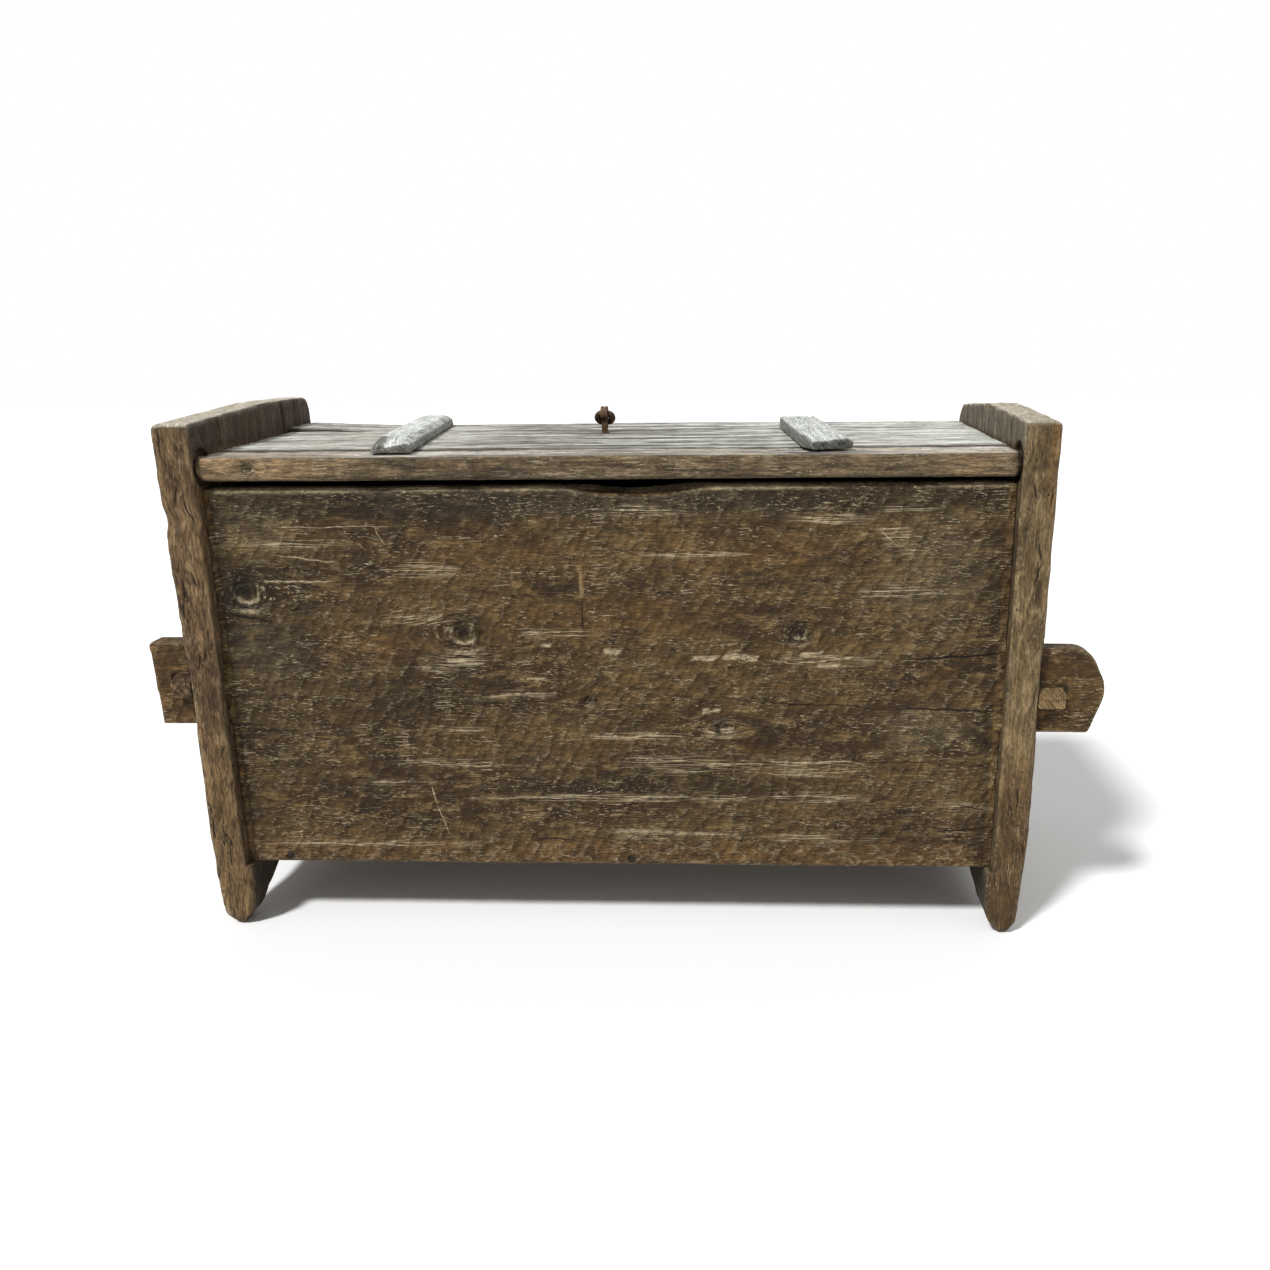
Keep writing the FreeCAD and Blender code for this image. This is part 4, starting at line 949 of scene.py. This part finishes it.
def iron_piece(node, body, material, voxel, amount, swell, seed):
    t = Timber(node, voxel, "Z", seed)
    t.depth += amount * rough_noise(seed, *(t.start / 3.2).T)
    t.move += swell * t.normal
    t.build(body, "wrought_iron", material, (0, 0), proud=swell)


hewn = wood(
    "hewn_wood", (60, 44, 24), (88, 69, 42), (115, 94, 60), (134, 121, 95), (196, 178, 144),
    rings=0.15, streak_share=0.24, warm=(118, 88, 52), silver=0.9, crackle=0.3, blotch=0.95,
    hair_size=(7.5, 1.9, 7.0), chips=0.8, scales=6.4, relief=1.25)
hewn_far = wood(
    "hewn_wood_far", (62, 49, 33), (87, 71, 50), (111, 95, 72), (128, 120, 104), (150, 136, 110),
    rings=0.4, fibre=0.65, streak_share=0.35, crackle=0.5, blotch=0.4, hair_size=(11.0, 1.5, 9.0),
    chips=0.6, scales=3.0, scales_turn=-60.0)
board_left = wood(
    "end_wood_left", (79, 61, 42), (108, 86, 60), (131, 108, 78), (186, 178, 162), (160, 144, 116),
    ring_width=4.0, fibre=0.75, pits=0.08, warm=(140, 112, 74), crackle=0.6,
    crackle_size=(44.0, 5.0, 1.0), hair_size=(10.0, 1.6, 9.0), chips=0.55)
board_right = wood(
    "end_wood_right", (83, 68, 46), (111, 93, 65), (133, 115, 84), (184, 174, 156), (166, 150, 120),
    ring_width=4.0, fibre=0.65, streak_share=0.25, pits=0.1, warm=(142, 108, 68), crackle=0.35,
    crackle_size=(44.0, 5.0, 1.0), hair_size=(7.0, 1.9, 7.0), chips=0.6)
silver = wood(
    "lid_wood", (104, 92, 72), (130, 120, 98), (150, 140, 118), (212, 213, 202), (236, 236, 230),
    rings=0.4, ring_width=4.5, fibre=0.8, streak_share=0.2, blotch=0.8)
rail = wood(
    "rail_wood", (77, 63, 44), (107, 91, 68), (131, 113, 86), (206, 200, 190), (190, 176, 150),
    rings=0.35, fibre=0.9, streak_share=0.45, warm=(158, 130, 96), crackle=0.5,
    hair_size=(8.0, 1.6, 8.0), chips=0.7)
pale = wood(
    "batten_wood", (112, 108, 98), (150, 148, 138), (176, 176, 168), (218, 222, 216), (238, 240, 234),
    rings=0.25, ring_width=3.0, fibre=0.7, streak_share=0.15, pits=0.1, blotch=0.7,
    hair_size=(7.0, 1.6, 7.0))
umber = wood(
    "wedge_wood_dark", (60, 42, 24), (84, 61, 37), (106, 80, 50), (128, 112, 86), (150, 128, 94),
    rings=0.5, ring_width=3.0, fibre=0.95, crackle=0.6, hair_size=(6.0, 1.6, 6.0), chips=0.7)
tan = wood(
    "wedge_wood", (92, 72, 46), (124, 101, 70), (148, 126, 92), (150, 142, 126), (180, 158, 122),
    rings=0.5, ring_width=3.0, fibre=0.9, hair_size=(8.0, 1.4, 8.0), chips=0.6)
floor = wood(
    "floor_wood", (78, 64, 46), (100, 84, 62), (118, 102, 78), (140, 132, 116), (140, 124, 98),
    rings=0.4, fibre=0.6, streak_share=0.25)
peg = wood(
    "peg_wood", (132, 128, 118), (158, 156, 146), (176, 174, 166), (200, 200, 192), (208, 208, 200),
    ring_width=2.0, streak_share=0.0, from_fields=False)
rust = iron("rusted_iron", 1.0)
black = iron("nail_iron", 0.16)

side_plank("hinge_side_plank", -1, 100, hewn)
side_plank("opening_side_plank", 1, 200, hewn_far)
end_board("left_end_board", -1, 300, board_left)
end_board("right_end_board", 1, 400, board_right)
for index in (1, 2, 3):
    plank = Timber("floor_board_%d" % index, 5.0, "X", 500 + 20 * index)
    plank.wear_arrises(2, 0.3, 0.8)
    plank.raise_grain(0.8)
    plank.build("carcass", "floor_wood", floor, (index * 90 - 180, 40))

plank = lid_board("lid_main_plank", 3.0, 600, 1.0)
pin_low, pin_high = node_box("eye_pin")
stain = np.hypot((plank.x - (pin_low[0] + pin_high[0]) / 2) / 1.5, plank.y - (pin_low[1] + pin_high[1]) / 2)
stain = step(stain + 40 * (rough_noise(611, plank.x / 34, plank.y / 22) - 0.5), 92, 24)
plank.fields["bleach"] *= 1 - 0.55 * stain
plank.lighten(-0.06 * stain)
plank.fields["pale"] *= 1 - 0.5 * stain
plank.build("lid", "lid_wood", silver, (-60, 600))
plank = lid_board("lid_free_board", 2.6, 640, 1.0)
plank.build("lid", "lid_wood", silver, (190, 640))
plank = lid_board("lid_hinge_rail", 2.4, 680, 0.85)
near = plank.facing(1, -1)
plank.fields["warm"] = np.maximum(step(plank.x, *RAIL_TAN_LEFT), 0.5 * step(plank.x, *RAIL_TAN_RIGHT)) * near
plank.v = np.where(near > 0.5, plank.z * 1.0, plank.v)
# Painted shade on the rail's right end, deep in its pocket: dark, without bleach or pale wear.
shoulder = step(RAIL_END - plank.x, SHOULDER_LENGTH + 9, SHOULDER_LENGTH)
plank.at_least("dark", 0.9 * shoulder)
plank.fields["bleach"] *= 1 - shoulder
plank.fields["pale"] *= 1 - shoulder
plank.knot(*RAIL_KNOT, near)
plank.build("lid", "rail_wood", rail, (-300, 690))

batten("lid_left_batten", 700, pale, splintered=False)
batten("lid_right_batten", 740, pale, splintered=True)
for end, seed, material, battered in (("right", 822, tan, False), ("left", 861, umber, True)):
    for index, side in enumerate(("hinge", "opening")):
        wedge("%s_%s_side_wedge" % (end, side), seed + 2 * index, material, battered)

iron_piece("eye_pin", "lid", rust, voxel=0.7, amount=0.7, swell=0.4, seed=900)
iron_piece("pull_ring", "pull_ring", rust, voxel=0.5, amount=0.5, swell=0.5, seed=910)

CAD_LOOKS = [
    (peg, ("lid_left_pegs", "lid_right_pegs", "lid_rail_dowels", "lid_edge_dowels")),
    (black, ("hinge_side_nails", "opening_side_nails")),
]
for material, nodes in CAD_LOOKS:
    for node in nodes:
        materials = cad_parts[node].data.materials
        materials.clear()
        materials.append(material)


# ---- floor, light and camera ----
def studio_floor():
    mesh = bpy.data.meshes.new("studio_floor")
    half = 14.0
    corners = [(-half, -half, 0), (half, -half, 0), (half, half, 0), (-half, half, 0)]
    mesh.from_pydata(corners, [], [(0, 1, 2, 3)])
    n = new_material("studio_floor")
    soft = n.noise(n.add("ShaderNodeTexCoord").outputs["Object"], (2.0, 2.0, 2.0), 2.0)
    n.feed(n.shader.inputs["Base Color"], n.mix(soft, (0.86, 0.86, 0.86, 1.0), (0.88, 0.88, 0.88, 1.0)))
    n.shader.inputs["Roughness"].default_value = 0.9
    n.shader.inputs["Specular IOR Level"].default_value = 0.1
    mesh.materials.append(n.owner)
    plane = bpy.data.objects.new("studio_floor", mesh)
    show(plane)


def soft_sun(name, toward, spread, power):
    """Even light from far away; spread is the softness in degrees."""
    light = bpy.data.lights.new(name, "SUN")
    light.angle = math.radians(spread)
    light.energy = power
    holder = bpy.data.objects.new(name, light)
    holder.rotation_euler = Vector(toward).to_track_quat("-Z", "Y").to_euler()
    show(holder)


def white_world(level):
    """White behind the chest and in its reflections; softer light from all round."""
    n = Nodes(bpy.data.worlds.new("white"), "ShaderNodeOutputWorld", "ShaderNodeMixShader")
    rays = n.add("ShaderNodeLightPath").outputs
    seen = n.most([rays["Is %s Ray" % kind] for kind in ("Camera", "Glossy", "Transmission")])
    lit = n.fill(n.add("ShaderNodeBackground"), Color=(1.0, 0.99, 0.97, 1.0), Strength=level)
    white = n.fill(n.add("ShaderNodeBackground"), Color=(1.0, 1.0, 1.0, 1.0), Strength=1.0)
    for socket, value in zip(n.shader.inputs, (seen, lit.outputs[0], white.outputs[0])):
        n.feed(socket, value)
    bpy.context.scene.world = n.owner


# The photograph's camera: place in mm, turns in radians, focal length and
# principal point in pixels of its 1270 x 1270 frame.
PHOTO_SIZE = 1270
FOCAL = 1147.45
CENTRE = (682.28, 676.2)
CAMERA_PLACE = (162.92, -1750.94, 848.84)
PITCH, YAW, ROLL = 0.29032, -0.04903, -0.01233
SENSOR = 36.0


def photo_camera():
    ahead = Vector((math.sin(YAW) * math.cos(PITCH), math.cos(YAW) * math.cos(PITCH), -math.sin(PITCH)))
    right = Vector((math.cos(YAW), -math.sin(YAW), 0.0))
    down = ahead.cross(right)
    row_x = math.cos(ROLL) * right - math.sin(ROLL) * down
    row_y = math.sin(ROLL) * right + math.cos(ROLL) * down
    data = bpy.data.cameras.new("photo_camera")
    data.sensor_width = SENSOR
    data.lens = SENSOR * FOCAL / PHOTO_SIZE
    data.shift_x = (PHOTO_SIZE / 2 - CENTRE[0]) / PHOTO_SIZE
    data.shift_y = (CENTRE[1] - PHOTO_SIZE / 2) / PHOTO_SIZE
    camera = bpy.data.objects.new("photo_camera", data)
    turn = Matrix((row_x, -row_y, -ahead)).transposed().to_4x4()
    camera.matrix_world = Matrix.Translation(Vector(CAMERA_PLACE) * MM) @ turn
    show(camera)
    bpy.context.scene.camera = camera


bpy.context.scene.view_settings.view_transform = "Standard"
studio_floor()
soft_sun("key", (0.48, 0.62, -1.0), 9.0, 3.4)
soft_sun("back", (-0.3, -0.8, -0.9), 40.0, 0.9)
white_world(0.4)
photo_camera()
